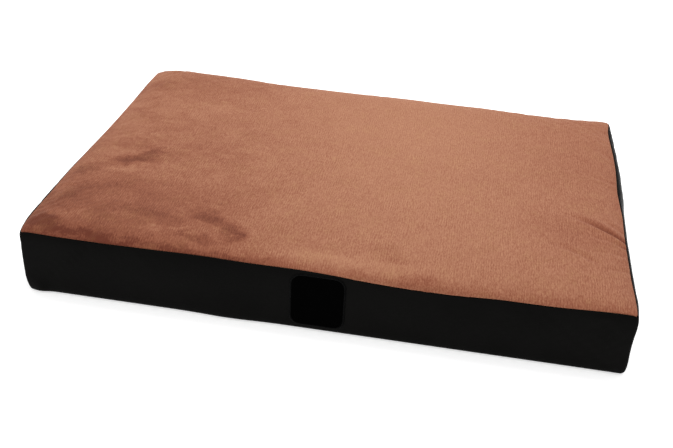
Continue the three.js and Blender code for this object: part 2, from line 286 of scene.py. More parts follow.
# ------------------------------------------------------------------------------------------------
# How this bed lies: slow departures from the true box, in mm, at points P in mm
# ------------------------------------------------------------------------------------------------
def settle(P):
    X, Y, Z = P[..., 0].copy(), P[..., 1].copy(), P[..., 2].copy()
    up = np.clip(Z / 118, 0, 1)
    x0, y0 = X.copy(), Y.copy()
    # back edge: fuller and higher at its left end, drawn in to the right of the middle
    wb = sstep(y0, 40, 345)
    Y += wb * up * curve(x0, [-500, -470, -440, -400, -345, -283, -230, -168, -56, 53, 163, 230, 300, 360, 420, 470, 500],
                         [5.0, 7.6, 10.6, 8.8, 9.2, 7.0, 4.4, 3.6, 2.6, 3.2, 1.4, 1.2, -0.4, -2.4, -1.0, 2.0, 3.0])
    Z += wb * sstep(Z, 40, 118) * curve(x0, [-500, -440, -400, -345, -230, -100, 53, 163, 240, 330, 420, 500],
                        [2.8, 6.6, 6.2, 5.8, 3.0, 2.4, 2.4, 2.2, 2.4, 0.4, 0.8, 2.8])
    # right side: fuller behind the middle
    wr = sstep(x0, 330, 496)
    X += wr * (0.35 + 0.65 * up) * curve(y0, [-350, -320, -279, -192, -136, -54, 11, 82, 150, 210, 293, 350],
                                         [1.4, 0.6, -0.8, -0.8, -1.0, -0.2, -0.6, 0.8, 2.6, 2.2, 0.2, 1.6])
    # left side
    wl = 1 - sstep(x0, -496, -330)
    X += wl * (0.35 + 0.65 * up) * curve(y0, [-350, -310, -250, -140, -40, 70, 191, 291, 350],
                                         [-2.2, -2.8, -2.8, -3.0, -0.8, 1.4, 2.6, 1.8, 2.8])
    # walls: bulges below the seam
    belly = bump(Z, 93, 31) * sstep(Z, 0, 30)
    X += sstep(x0, 470, 499) * belly * curve(y0, [-348, -320, -280, -220, -120, -54, 0, 40, 80, 131, 183, 237, 293, 330, 348],
                                             [2.2, 4.2, 5.2, 5.4, 5.2, 6.8, 8.6, 11.0, 10.8, 10.4, 9.2, 9.6, 9.4, 7.0, 5.0])
    X -= (1 - sstep(x0, -499, -470)) * belly * curve(y0, [-348, -325, -290, -200, -110, -30, 80, 200, 345],
                                                     [0.0, 3.6, 5.8, 6.0, 5.6, 4.6, 3.6, 3.2, 1.0])
    Y -= (1 - sstep(y0, -349, -320)) * bump(Z, 72, 36) * sstep(Z, 0, 30) * curve(x0, [-495, -380, -250, -110, 0, 130, 260, 390, 495],
                                                     [0.2, 1.6, 2.6, 1.2, 0.6, 1.4, 2.8, 2.0, 0.2])
    # front left corner: tucked in a little all the way down
    tuck = (1 - sstep(x0, -500, -440)) * (1 - sstep(y0, -350, -290))
    X += tuck * (6.4 + 2.4 * (1 - sstep(Z, 2, 34)) - 3.4 * sstep(Z, 92, 118))
    Y -= (1 - sstep(y0, -350, -290)) * 3.4 * bump(x0, -474, 17) * (1 - sstep(Z, 4, 44))
    Y -= (1 - sstep(y0, -349, -320)) * 3.0 * bump(x0, -142, 50) * (1 - sstep(Z, 12, 66))
    # front right corner
    tuck = sstep(x0, 440, 500) * (1 - sstep(y0, -350, -290))
    X -= tuck * 3.4 * bump(Z, 72, 40)
    return np.stack([X, Y, Z], -1)


def lie(P):
    """The finished place in metres of points in mm."""
    return settle(P) * MM


# ------------------------------------------------------------------------------------------------
# Mesh builders
# ------------------------------------------------------------------------------------------------
def grid_normals(P):
    """Vertex normals of a grid, from the quads round each vertex."""
    f = np.cross(P[1:, 1:] - P[:-1, :-1], P[1:, :-1] - P[:-1, 1:])
    n = np.zeros_like(P)
    for a in (slice(None, -1), slice(1, None)):
        for b in (slice(None, -1), slice(1, None)):
            n[a, b] += f
    return n / np.maximum(np.linalg.norm(n, axis=-1, keepdims=True), 1e-15)


def spread_doubles(P):
    """Moves doubled end rows and columns apart, so that normals are defined there."""
    Q = P.copy()
    if np.allclose(Q[0], Q[1]):
        Q[0] = Q[1] + (Q[1] - Q[2]) * 0.2
    if np.allclose(Q[-1], Q[-2]):
        Q[-1] = Q[-2] + (Q[-2] - Q[-3]) * 0.2
    if np.allclose(Q[:, 0], Q[:, 1]):
        Q[:, 0] = Q[:, 1] + (Q[:, 1] - Q[:, 2]) * 0.2
    if np.allclose(Q[:, -1], Q[:, -2]):
        Q[:, -1] = Q[:, -2] + (Q[:, -2] - Q[:, -3]) * 0.2
    return Q


def fast_mesh(name, verts, *polys, smooth=True):
    """A mesh from an array of points and arrays of triangles, quads or larger polygons."""
    me = bpy.data.meshes.new(name)
    verts = np.ascontiguousarray(verts, np.float32).reshape(-1, 3)
    polys = [np.ascontiguousarray(p, np.int32) for p in polys if len(p)]
    me.vertices.add(len(verts))
    me.vertices.foreach_set("co", verts.ravel())
    me.loops.add(sum(p.size for p in polys))
    me.loops.foreach_set("vertex_index", np.concatenate([p.ravel() for p in polys]))
    starts, at = [], 0
    for p in polys:
        starts.append(at + np.arange(0, p.size, p.shape[1]))
        at += p.size
    me.polygons.add(sum(len(p) for p in polys))
    me.polygons.foreach_set("loop_start", np.concatenate(starts).astype(np.int32))
    me.update(calc_edges=True)
    me.validate()
    if smooth:
        me.shade_smooth()
    o = bpy.data.objects.new(name, me)
    bpy.context.scene.collection.objects.link(o)
    return o


def grid_quads(ny, nx, start=0, flip=False):
    i = np.arange(ny - 1)[:, None] * nx + np.arange(nx - 1)[None, :] + start
    q = np.stack([i, i + 1, i + nx + 1, i + nx], -1).reshape(-1, 4)
    return q[:, ::-1] if flip else q


def shell(name, P, N, thick):
    """A closed sheet: the outer grid P, an inner one thick below it, and a rim. P, thick in metres.
    N points outwards and agrees with the grid's winding."""
    ny, nx = P.shape[:2]
    inner = P - N * thick
    n = ny * nx
    verts = np.concatenate([P.reshape(-1, 3), inner.reshape(-1, 3)])
    quads = [grid_quads(ny, nx), grid_quads(ny, nx, n, flip=True)]
    ring = np.concatenate(
        [np.arange(nx - 1), np.arange(ny - 1) * nx + nx - 1, (ny - 1) * nx + np.arange(nx - 1, 0, -1), np.arange(ny - 1, 0, -1) * nx]
    )
    nxt = np.roll(ring, -1)
    quads.append(np.stack([nxt, ring, ring + n, nxt + n], -1))
    return fast_mesh(name, verts, np.concatenate(quads))


def groove(e, r):
    """Depth in mm of a turned edge at a distance e from its seam: a quarter round."""
    e = np.clip(e, 0, r)
    return r - np.sqrt(np.maximum(r * r - (r - e) ** 2, 0))


def edge_stations(r, extra=(0.0,)):
    a = np.linspace(0, math.pi / 2, 7)
    return r * (1 - np.cos(a))


# Rows that carry a turned edge: distances from the seam
def turned(r, then):
    return np.unique(np.concatenate([edge_stations(r), then]))


GAP = 0.12  # between the two turned edges of a seam, from its middle


def gap(e):
    """How far a station at e mm from a seam moves off it."""
    return GAP * np.exp(-np.maximum(e, 0) / 0.5)


ROLL_T, ROLL_W = 2.4, 1.7  # radii of the plush and the coated fabric where they turn into a seam
SEAM_DEEP = 4.2


# ------------------------------------------------------------------------------------------------
# Cloth: the whole cover as one coarse closed bag, blown against its seams, whose thread is a little
# short. What it adds to the smooth shape (puckers and pulls) is kept, its overall swelling isn't.
# ------------------------------------------------------------------------------------------------
NXS, NYS, NKS = 101, 71, 13  # stations along X and Y, and rows down a wall


FOAM_HOLD, FOAM_STIFF, FOAM_PUSH = 0.3, 1.6, 4.0  # how the foam core holds the cover out and keeps it from ballooning


def bag_points():
    xs, ys = np.linspace(-LX, LX, NXS), np.linspace(-LY, LY, NYS)
    ks = np.linspace(0, 1, NKS)
    made = {"top": top_round(*np.meshgrid(xs, ys))}
    for side, ts, fn in (("front", xs, sig_front), ("back", xs, sig_back), ("left", ys, sig_left), ("right", ys, sig_right)):
        s0 = fn(ts)[None, :]
        made[side] = wall_square(side, ts[None, :], s0 + ks[:, None] * (SIG_BOTTOM - s0))
    return made


def simulate_bag():
    """Displacement in mm of each panel's stations, {panel: (rows, stations, 3)}."""
    flat = bag_points()
    verts, at, faces = [], {}, []

    def vid(p):
        key = tuple(np.round(p, 3))
        if key not in at:
            at[key] = len(verts)
            verts.append(p)
        return at[key]

    ids = {}
    for name, P in flat.items():
        ids[name] = np.array([[vid(p) for p in row] for row in P])
    loops = {"top": ids["top"], "front": ids["front"][::-1], "right": ids["right"][::-1], "back": ids["back"], "left": ids["left"]}
    for name, g in loops.items():
        for j in range(g.shape[0] - 1):
            for i in range(g.shape[1] - 1):
                faces.append((g[j, i], g[j, i + 1], g[j + 1, i + 1], g[j + 1, i]))
    # the underside, as one grid between the walls' lowest rows
    low = {n: flat[n][-1] for n in ("front", "back", "left", "right")}
    idl = {n: ids[n][-1] for n in low}
    under = np.zeros((NYS, NXS), int)
    for j in range(NYS):
        for i in range(NXS):
            if j == 0:
                under[j, i] = idl["front"][i]
            elif j == NYS - 1:
                under[j, i] = idl["back"][i]
            elif i == 0:
                under[j, i] = idl["left"][j]
            elif i == NXS - 1:
                under[j, i] = idl["right"][j]
            else:
                u, v = i / (NXS - 1), j / (NYS - 1)
                p = (1 - v) * low["front"][i] + v * low["back"][i]
                under[j, i] = vid(np.array([p[0], p[1], p[2] - 0.6]))
    for j in range(NYS - 1):
        for i in range(NXS - 1):
            faces.append((under[j + 1, i], under[j + 1, i + 1], under[j, i + 1], under[j, i]))
    verts = np.array(verts)
    me = bpy.data.meshes.new("bag")
    me.from_pydata([tuple(v * MM) for v in verts], [], faces)
    me.update()
    bag = bpy.data.objects.new("bag", me)
    bpy.context.scene.collection.objects.link(bag)
    pin = bag.vertex_groups.new(name="pin")
    pin.add(list(range(len(verts))), FOAM_HOLD, "REPLACE")
    pin.add([int(i) for i in np.unique(under)], 1.0, "REPLACE")
    short = bag.vertex_groups.new(name="short")
    seams = [ids["top"][0], ids["top"][-1], ids["top"][:, 0], ids["top"][:, -1], ids["front"][:, 0], ids["front"][:, -1]]
    for k in sorted(set(int(i) for s in seams for i in s)):
        pull = 0.55 + 0.75 * noise3(verts[k] / 47.0 + 3.1)
        short.add([k], float(np.clip(pull, 0.05, 1.0)), "REPLACE")
    mod = bag.modifiers.new("cloth", "CLOTH")
    c = mod.settings
    c.quality = 6
    c.mass = 0.35
    c.tension_stiffness = 30
    c.compression_stiffness = 30
    c.shear_stiffness = 12
    c.bending_stiffness = 0.6
    c.tension_damping = c.compression_damping = c.shear_damping = 12
    c.use_pressure = True
    c.uniform_pressure_force = FOAM_PUSH
    c.vertex_group_mass = "pin"
    c.pin_stiffness = FOAM_STIFF
    c.vertex_group_shrink = "short"
    c.shrink_min = 0.0
    c.shrink_max = 0.055
    c.effector_weights.gravity = 0
    mod.point_cache.frame_start = 1
    mod.point_cache.frame_end = 24
    scene = bpy.context.scene
    for f in range(1, 25):
        scene.frame_set(f)
    dg = bpy.context.evaluated_depsgraph_get()
    ev = bag.evaluated_get(dg)
    co = np.zeros(len(verts) * 3)
    ev.data.vertices.foreach_get("co", co)
    moved = co.reshape(-1, 3) / MM - verts
    scene.frame_set(1)
    bpy.data.objects.remove(bag)
    bpy.data.meshes.remove(me)
    return {n: moved[ids[n]] for n in flat}


def blur(D, reach):
    """D smoothed over its first two axes by a box of 2*reach+1, three times; edges held."""
    for _ in range(3):
        for ax in (0, 1):
            pad = [(0, 0)] * D.ndim
            pad[ax] = (reach + 1, reach)
            c = np.cumsum(np.pad(D, pad, mode="edge"), axis=ax)
            hi = np.take(c, range(2 * reach + 1, c.shape[ax]), axis=ax)
            lo = np.take(c, range(0, c.shape[ax] - 2 * reach - 1), axis=ax)
            D = (hi - lo) / (2 * reach + 1)
    return D


def sample(D, u, v):
    """Catmull-Rom value of D (rows, columns, 3) at column u and row v, both in index units."""
    ny, nx = D.shape[:2]
    u, v = np.clip(u, 0, nx - 1.000001), np.clip(v, 0, ny - 1.000001)
    iu, iv = np.floor(u).astype(int), np.floor(v).astype(int)
    fu, fv = (u - iu)[..., None], (v - iv)[..., None]

    def w(t):
        return (-0.5 * t + t * t - 0.5 * t**3, 1 - 2.5 * t * t + 1.5 * t**3, 0.5 * t + 2 * t * t - 1.5 * t**3, -0.5 * t * t + 0.5 * t**3)

    total = 0
    for a, wa in zip((-1, 0, 1, 2), w(fv)):
        row = np.clip(iv + a, 0, ny - 1)
        for b, wb in zip((-1, 0, 1, 2), w(fu)):
            total = total + wa * wb * D[row, np.clip(iu + b, 0, nx - 1)]
    return total


PUCKER = {"top": None, "front": None, "back": None, "left": None, "right": None}
PUCKER_GAIN, PUCKER_CAP = 0.42, 1.8


def corner_window(name):
    """0 at the cover's eight corners, so that the three panels there stay together."""
    P = bag_points()[name]
    w = np.ones(P.shape[:2])
    for sx in (-1, 1):
        for sy in (-1, 1):
            for z in (116.4, 2.0):
                c = np.array([sx * (HX / MM - 4), sy * (HY / MM - 4), z])
                w *= 1 - np.exp(-((np.linalg.norm(P - c, axis=-1) / 26) ** 2))
            d = np.hypot(P[..., 0] - sx * (HX / MM - 3), P[..., 1] - sy * (HY / MM - 3))
            w *= 1 - 0.7 * np.exp(-((d / 22) ** 2))
    return w[..., None]


def simulated():
    raw = simulate_bag()
    # low frequencies: one smooth field, from the panels side by side, so it agrees at the seams
    for name, D in raw.items():
        reach = 5
        slow = blur(D, reach)
        # at a panel's own edge the field is what its neighbours share: the slow part there comes from the edge line
        for sl in ((0, slice(None)), (-1, slice(None)), (slice(None), 0), (slice(None), -1)):
            line = D[sl]
            pad = np.pad(line, ((reach + 1, reach), (0, 0)), mode="edge")
            for _ in range(2):
                c = np.cumsum(pad, axis=0)
                m = (c[2 * reach + 1 :] - c[: -2 * reach - 1]) / (2 * reach + 1)
                pad = np.pad(m, ((reach + 1, reach), (0, 0)), mode="edge")
            slow_line = m
            n = 6 if name == "top" else 4
            for q in range(n):
                k = 1 - sstep(q / n, 0, 1)
                idx = list(sl)
                for ax in (0, 1):
                    if idx[ax] == 0:
                        idx[ax] = q
                    elif idx[ax] == -1:
                        idx[ax] = -1 - q
                if q < (D.shape[0] if isinstance(sl[0], int) else D.shape[1]):
                    slow[tuple(idx)] = slow[tuple(idx)] * (1 - k) + slow_line * k
        fast = (D - slow) * PUCKER_GAIN * corner_window(name)
        size = np.linalg.norm(fast, axis=-1, keepdims=True)
        fast = fast * (PUCKER_CAP / np.maximum(PUCKER_CAP, size))
        PUCKER[name] = fast
        print("cloth", name, "moved", np.round(np.linalg.norm(D, axis=-1).max(), 1), "kept", np.round(np.linalg.norm(fast, axis=-1).max(), 2), np.round(np.linalg.norm(fast, axis=-1).mean(), 2))


simulated()


def puckered(name, P, u, v):
    """P in mm plus what the cloth adds at (u, v), each 0 to 1 across the panel."""
    D = PUCKER[name]
    if D is None:
        return P
    return P + sample(D, u * (D.shape[1] - 1), v * (D.shape[0] - 1))


# Top panel ----------------------------------------------------------------------------------------
def panel_axis(L, step=3.0):
    ends = turned(ROLL_T, [3.4, 4.6, 6.0, 7.8])
    a = np.concatenate([[-0.0], ends])
    inner = graded(-L + 10, L - 10, step, 2.2, 30)
    left = -L + a
    return np.concatenate([left, inner, -left[::-1]])



def top_place(xg, yg):
    """The plush's outer face in metres at panel stations xg, yg in mm."""
    return lie(creased(puckered("top", top_round(xg, yg), (xg + LX) / (2 * LX), (yg + LY) / (2 * LY)), xg, yg))


# Pulls in the plush: (x, y) at the ends in mm, width, depth, bow
CREASES = [
    ((508, -151), (378, -76), 7.5, 3.5, -4),
    ((508, -168), (405, -146), 7.0, 1.3, -6),
    ((444, -232), (335, -176), 9.0, 1.2, -7),
    ((506, -122), (436, -58), 8.0, 0.8, 3),
    ((506, -192), (420, -196), 8.0, 0.7, -3),
    ((506, -232), (420, -262), 9.0, 0.8, -4),
    ((508, 60), (420, 92), 10.0, 0.6, 5),
    ((60, -352), (92, -262), 9.0, 0.5, -5),
    ((178, -356), (166, -284), 8.0, 0.6, 3),
    ((236, -352), (282, -268), 9.0, 0.5, 5),
    ((-146, -330), (-214, -236), 12.0, 0.5, 5),
    ((-170, -322), (-244, -298), 11.0, 0.4, 3),
    ((-440, -318), (-330, -338), 9.0, 0.5, 2),
    ((-420, -96), (-362, -30), 14.0, 0.3, -6),
]


def pulls(X, Y):
    """For each pull: its depth, its strength along it, and its cross-section's place, over stations X, Y."""
    for (ax, ay), (bx, by), w, deep, bow in CREASES:
        a, d = np.array([ax, ay], float), np.array([bx - ax, by - ay], float)
        L = np.linalg.norm(d)
        d /= L
        n = np.array([-d[1], d[0]])
        u = (X - a[0]) * d[0] + (Y - a[1]) * d[1]
        v = (X - a[0]) * n[0] + (Y - a[1]) * n[1] - bow * np.sin(np.clip(u / L, 0, 1) * math.pi)
        along = sstep(u, -8, 12) * (1 - sstep(u, L * 0.35, L))
        yield deep, along, v / (w * (0.75 + 0.7 * np.clip(u / L, 0, 1)))


def creased(P, X, Y):
    """Adds the pulls to points P in mm; X, Y are their stations."""
    P = P.copy()
    for deep, along, v in pulls(X, Y):
        shape = 0.75 * np.exp(-((v - 1.15) ** 2)) - np.exp(-((v / 0.7) ** 2)) + 0.45 * np.exp(-((v + 1.2) ** 2))
        P[..., 2] += deep * along * shape
    # the foam under the plush isn't dead flat
    q = np.stack([X / 150, Y / 150, np.full(X.shape, 2.3)], -1)
    inside = np.clip((P[..., 2] - 112) / 14, 0, 1)
    P[..., 2] += inside * (0.9 * noise3(q) + 0.28 * noise3(q * 3.1 + 5))
    return P


def crushed_and_shaded(X, Y):
    """How much the pile is darkened in the pulls, 0 to 1: crushed pile, and painted shade in the valley and beside it.
    """
    total = np.zeros(X.shape)
    for deep, along, v in pulls(X, Y):
        total += min(deep / 4.0, 1) ** 1.4 * along**1.5 * (np.exp(-((v / 0.85) ** 2)) + 0.35 * np.exp(-(((v + 1.1) / 1.2) ** 2)))
    return np.clip(total, 0, 1)


def make_top():
    xs, ys = panel_axis(LX), panel_axis(LY)
    xs, ys = np.unique(np.round(xs, 5)), np.unique(np.round(ys, 5))
    xs = xs + gap(xs + LX) - gap(LX - xs)
    ys = ys + gap(ys + LY) - gap(LY - ys)
    # a doubled first row: the one at 0 goes straight down into the seam
    xs = np.concatenate([[xs[0]], xs, [xs[-1]]])
    ys = np.concatenate([[ys[0]], ys, [ys[-1]]])
    xg, yg = np.meshgrid(xs, ys)
    P = top_place(xg, yg)
    N = grid_normals(spread_doubles(P))
    e = np.minimum(np.minimum(xg + LX, LX - xg), np.minimum(yg + LY, LY - yg))
    d = groove(e, ROLL_T)
    d[0, :], d[-1, :], d[:, 0], d[:, -1] = (SEAM_DEEP,) * 4
    return P, N, d, xg, yg


top_P, top_N, top_d, top_x, top_y = make_top()
top = shell("plush_top", top_P - top_N * (top_d * MM)[..., None], top_N, 1.4 * MM)
# painted shade in the pulls, together with the crushed pile, handed to the velvet as a point attribute
_a = top.data.attributes.new("crushed_and_shaded", "FLOAT", "POINT")
_a.data.foreach_set("value", np.concatenate([crushed_and_shaded(top_x, top_y).ravel(), np.zeros(top_x.size)]).astype(np.float32))


# Walls ----------------------------------------------------------------------------------------------
def wall_grid(side, ts, s_lo=None, s_hi=None, n=30):
    """A wall panel over stations ts (increasing anticlockwise seen from above), from sigma s_lo (None:
    the seam) down to s_hi. Returns the stations and the sigma rows; rows run from the bottom upwards so
    that the winding points outwards."""
    roll = turned(ROLL_W, [2.6, 4.0, 6.0, 8.6])
    shares = np.linspace(0, 1, n + 1)
    t = np.asarray(ts, float)
    fn = SEAM_FN[side]
    s0 = fn(t) if s_lo is None else np.full(t.shape, float(s_lo))
    s1 = np.full(t.shape, SIG_BOTTOM if s_hi is None else float(s_hi))
    rows = []
    for a in np.concatenate([[0.0], roll]):
        rows.append(s0 + a)
    r = roll[-1]
    for k in shares[1:-1]:
        rows.append(s0 + r + k * (s1 - s0 - 2 * r))
    for a in np.concatenate([roll[::-1], [0.0]]):
        rows.append(s1 - a)
    S = np.stack(rows)[::-1]  # bottom row first
    return t, S


SEAM_FN = {"front": sig_front, "back": sig_back, "left": sig_left, "right": sig_right}


def wall_place(side, t, sig):
    """A wall's outer face in metres at stations t and sigma in mm."""
    t, sig = np.broadcast_arrays(np.asarray(t, float), np.asarray(sig, float))
    half = LX if side in ("front", "back") else LY
    s0 = SEAM_FN[side](t)
    P = puckered(side, wall_square(side, t, sig), (t + half) / (2 * half), (sig - s0) / (SIG_BOTTOM - s0))
    if side == "back":
        P = pinched(P)
    return lie(P)


def wall_frame(side, t, sig):
    """Place, outward normal, direction along the wall (towards +t) at stations."""
    P = wall_place(side, t, sig)
    du = wall_place(side, np.asarray(t) + 0.5, sig) - wall_place(side, np.asarray(t) - 0.5, sig)
    dv = wall_place(side, t, np.asarray(sig) + 0.5) - wall_place(side, t, np.asarray(sig) - 0.5)
    n = np.cross(dv, du) if side in ("front", "right") else np.cross(du, dv)
    n /= np.linalg.norm(n, axis=-1, keepdims=True)
    du /= np.linalg.norm(du, axis=-1, keepdims=True)
    return P, n, du


def build_wall(parts, name, thick=1.1, end_grooves=(True, True), s_lo=None, s_hi=None, n=30, deep_lo=SEAM_DEEP, deep_hi=3.0):
    """parts: list of (side, stations), anticlockwise seen from above, joined at the corners."""
    Ps, Es, Ss = [], [], []
    Qs = []
    along = 0.0
    for side, ts in parts:
        t, S = wall_grid(side, ts, s_lo, s_hi, n=n)
        Q = S - gap(S[0][None] - S) + gap(S - S[-1][None])
        Ps.append(wall_place(side, t[None, :], Q))
        e_seam = S - S[-1][None, :]
        e_bot = S[0][None, :] - S
        Ss.append((e_seam, e_bot))
    P = np.concatenate([Ps[0]] + [p[:, 1:] for p in Ps[1:]], axis=1)
    e_seam = np.concatenate([Ss[0][0]] + [s[0][:, 1:] for s in Ss[1:]], axis=1)
    e_bot = np.concatenate([Ss[0][1]] + [s[1][:, 1:] for s in Ss[1:]], axis=1)
    # distance along the wall from each end, from its middle row
    mid = P[P.shape[0] // 2]
    run = np.concatenate([[0], np.cumsum(np.linalg.norm(np.diff(mid, axis=0), axis=1))]) / MM
    N = grid_normals(spread_doubles(P))
    d = groove(e_seam, ROLL_W)
    d = np.maximum(d, groove(e_bot, ROLL_W))
    d[-1, :] = deep_lo
    d[0, :] = deep_hi
    for k, on in enumerate(end_grooves):
        e = run if k == 0 else run[-1] - run
        if on:
            d = np.maximum(d, groove(e, 1.5)[None, :])
            d[:, 0 if k == 0 else -1] = np.maximum(d[:, 0 if k == 0 else -1], 3.2)
    o = shell(name, P - N * (d * MM)[..., None], N, thick * MM)
    return o, P, N, run


def pinched(P):
    """The back wall is drawn in along the zip."""
    X, Y, Z = P[..., 0], P[..., 1], P[..., 2]
    w = 1 - sstep(np.abs(X), 466, 496)
    return np.stack([X, Y - w * 7.0 * bump(Z, ZIP_Z / MM, 11), Z], -1)


def stations(a, b, step=4.0, e=1.5):
    """Stations between two seams, with a doubled first and last one and a fine turned edge."""
    r = turned(e, [2.4, 3.8, 5.6, 8.0])
    s = 1 if b > a else -1
    r = r + gap(r)
    inner = a + s * graded(10, abs(b - a) - 10, step, 2.4, 20)
    return np.concatenate([[a + s * r[0]], a + s * r, inner, b - s * r[::-1], [b - s * r[0]]])


def cad_x_to_t(x):
    """The seam station whose back-wall point has this X in mm."""
    ts = np.linspace(-LX, LX, 4001)
    X = top_square(ts, np.full(ts.shape, LY))[..., 0]
    return float(np.interp(x, X, ts))


front, front_P, front_N, front_run = build_wall([("front", stations(-LX, LX))], "wall_front")
t470 = cad_x_to_t(STRIP / MM + 0.2)


def round_bend(c, s):
    """Fine stations from 18 mm away up to a corner at c."""
    return c + s * np.linspace(18, 0, 13)


# each side wall carries on round the corner behind it and ends a little way along the back
full_y, full_x = stations(-LY, LY), stations(t470, LX)
right_ts = np.concatenate([full_y[full_y < LY - 20], round_bend(LY, -1)])
back_r = np.concatenate([round_bend(LX, -1)[::-1], full_x[full_x < LX - 19][::-1]])
wall_right, right_P, right_N, right_run = build_wall([("right", right_ts), ("back", back_r)], "wall_right")
# anticlockwise seen from above: along the back towards -X, then down the left side
left_ts = np.concatenate([round_bend(LY, -1)[::-1], full_y[full_y < LY - 20][::-1]])
back_l = np.concatenate([-full_x[full_x < LX - 19], round_bend(-LX, 1)])
wall_left, left_P, left_N, left_run = build_wall([("back", back_l), ("left", left_ts)], "wall_left")

SZ_UP, SZ_LO = sigma_at(ZIP_Z / MM + 6.4), sigma_at(ZIP_Z / MM - 6.4)
strip_ts = stations(t470, -t470, 4.0)
upper, upper_P, upper_N, upper_run = build_wall([("back", strip_ts)], "back_strip_upper", s_hi=SZ_UP, n=18, deep_hi=1.9)
lower, lower_P, lower_N, lower_run = build_wall([("back", strip_ts)], "back_strip_lower", s_lo=SZ_LO, n=12, deep_lo=1.9)



# Underside -------------------------------------------------------------------------------------------
def under_place(t, s, z):
    """The underside in metres: stations t, s as cut along X and Y, and height z in mm."""
    h = inset(SIG_BOTTOM)
    X = top_square(t, np.full(np.shape(t), -LY))[..., 0] * (HX / MM - h) / (HX / MM - inset(0.0))
    Y = top_square(np.full(np.shape(s), -LX), s)[..., 1] * (HY / MM - h) / (HY / MM - inset(0.0))
    return lie(round_plan(np.stack([X, Y, z], -1), HX / MM - h, HY / MM - h))


def make_under():
    xs, ys = stations(-LX, LX, 9.0), stations(-LY, LY, 9.0)
    xg, yg = np.meshgrid(xs, ys[::-1])
    e = np.minimum(np.minimum(xg + LX, LX - xg), np.minimum(yg + LY, LY - yg))
    z = 0.75 + 1.15 * (1 - sstep(e, 0, 13)) + 0.12 * noise3(np.stack([xg / 60, yg / 60, xg * 0], -1))
    P = under_place(xg, yg, z)
    N = np.broadcast_to(np.array([0.0, 0.0, -1.0]), P.shape)
    d = groove(e, 1.5)
    d[0, :], d[-1, :], d[:, 0], d[:, -1] = (3.0,) * 4
    return shell("underside", P - N * (d * MM)[..., None], N, 0.9 * MM)


underside = make_under()


def make_grips():
    """Rows of small rubber studs on the underside."""
    pitch = 11.0
    ys = np.arange(-LY + 22, LY - 20, pitch * 0.866)
    spots = []
    for k, y in enumerate(ys):
        x = np.arange(-LX + 22 + (k % 2) * pitch / 2, LX - 20, pitch)
        spots.append(np.stack([x, np.full(x.shape, y)], -1))
    spots = np.concatenate(spots)
    spots = spots + 0.25 * np.stack([noise3(np.stack([spots[:, 0] / 9, spots[:, 1] / 9, np.full(len(spots), z)], -1)) for z in (1.7, 8.2)], -1)
    base = under_place(spots[:, 0], spots[:, 1], np.full(len(spots), 0.8)) / MM
    a = np.arange(8) * math.pi / 4
    ring = np.stack([np.cos(a), np.sin(a)], -1)
    r, h = 1.9, 0.72
    layers = [(1.0, 0.25), (0.93, -0.35 * h), (0.62, -0.92 * h)]
    V = []
    for k, dz in layers:
        p = np.zeros((len(spots), 8, 3))
        p[..., :2] = base[:, None, :2] + ring[None] * r * k
        p[..., 2] = base[:, None, 2] + dz
        V.append(p)
    V = np.stack(V, 1)  # spot, layer, ring
    V[..., 2] = np.maximum(V[..., 2], 0.02)
    n = len(spots)
    at = np.arange(n)[:, None] * 24
    q = []
    for l in range(2):
        for i in range(8):
            j = (i + 1) % 8
            q.append(np.stack([at[:, 0] + l * 8 + i, at[:, 0] + l * 8 + 8 + i, at[:, 0] + l * 8 + 8 + j, at[:, 0] + l * 8 + j], -1))
    caps = [at + np.arange(16, 24)[::-1][None], at + np.arange(8)[None]]
    return fast_mesh("underside_studs", V.reshape(-1, 3) * MM, np.concatenate(q), np.concatenate(caps))


grips = make_grips()


# Foam ------------------------------------------------------------------------------------------------
def rounded_block(name, lo, hi, r, counts, shape):
    """A block with rounded edges from a gridded box. shape maps points in mm to their finished place."""
    lo, hi = np.array(lo, float), np.array(hi, float)
    ax = [np.unique(np.concatenate([lo[k] + r * (1 - np.cos(np.linspace(0, math.pi / 2, 6))), np.linspace(lo[k] + r, hi[k] - r, counts[k]), hi[k] - r * (1 - np.cos(np.linspace(0, math.pi / 2, 6)))])) for k in range(3)]
    at, verts, quads = {}, [], []

    def vid(i, j, k):
        key = (i, j, k)
        if key not in at:
            at[key] = len(verts)
            verts.append((ax[0][i], ax[1][j], ax[2][k]))
        return at[key]

    n = [len(a) for a in ax]
    for k, flip in ((0, True), (n[2] - 1, False)):
        for j in range(n[1] - 1):
            for i in range(n[0] - 1):
                q = [vid(i, j, k), vid(i + 1, j, k), vid(i + 1, j + 1, k), vid(i, j + 1, k)]
                quads.append(q[::-1] if flip else q)
    for j, flip in ((0, False), (n[1] - 1, True)):
        for k in range(n[2] - 1):
            for i in range(n[0] - 1):
                q = [vid(i, j, k), vid(i + 1, j, k), vid(i + 1, j, k + 1), vid(i, j, k + 1)]
                quads.append(q[::-1] if flip else q)
    for i, flip in ((0, True), (n[0] - 1, False)):
        for k in range(n[2] - 1):
            for j in range(n[1] - 1):
                q = [vid(i, j, k), vid(i, j + 1, k), vid(i, j + 1, k + 1), vid(i, j, k + 1)]
                quads.append(q[::-1] if flip else q)
    P = np.array(verts)
    core = np.clip(P, lo + r, hi - r)
    d = P - core
    L = np.linalg.norm(d, axis=1, keepdims=True)
    P = np.where(L > 1e-9, core + d / np.maximum(L, 1e-9) * np.minimum(r, np.abs(d).max(1, keepdims=True)), P)
    return fast_mesh(name, shape(P), np.array(quads))


def foam_shape(P, seed):
    q = P / 45.0 + seed
    n = noise3(q) * 0.5 + 0.2 * noise3(q * 4)
    P = P.copy()
    P[:, 2] += n * np.where(P[:, 2] > 60, 0.5, 0.15)
    return settle(P) * MM


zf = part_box("foam_base")[1].z / MM
crown_under = 129 - 2.6


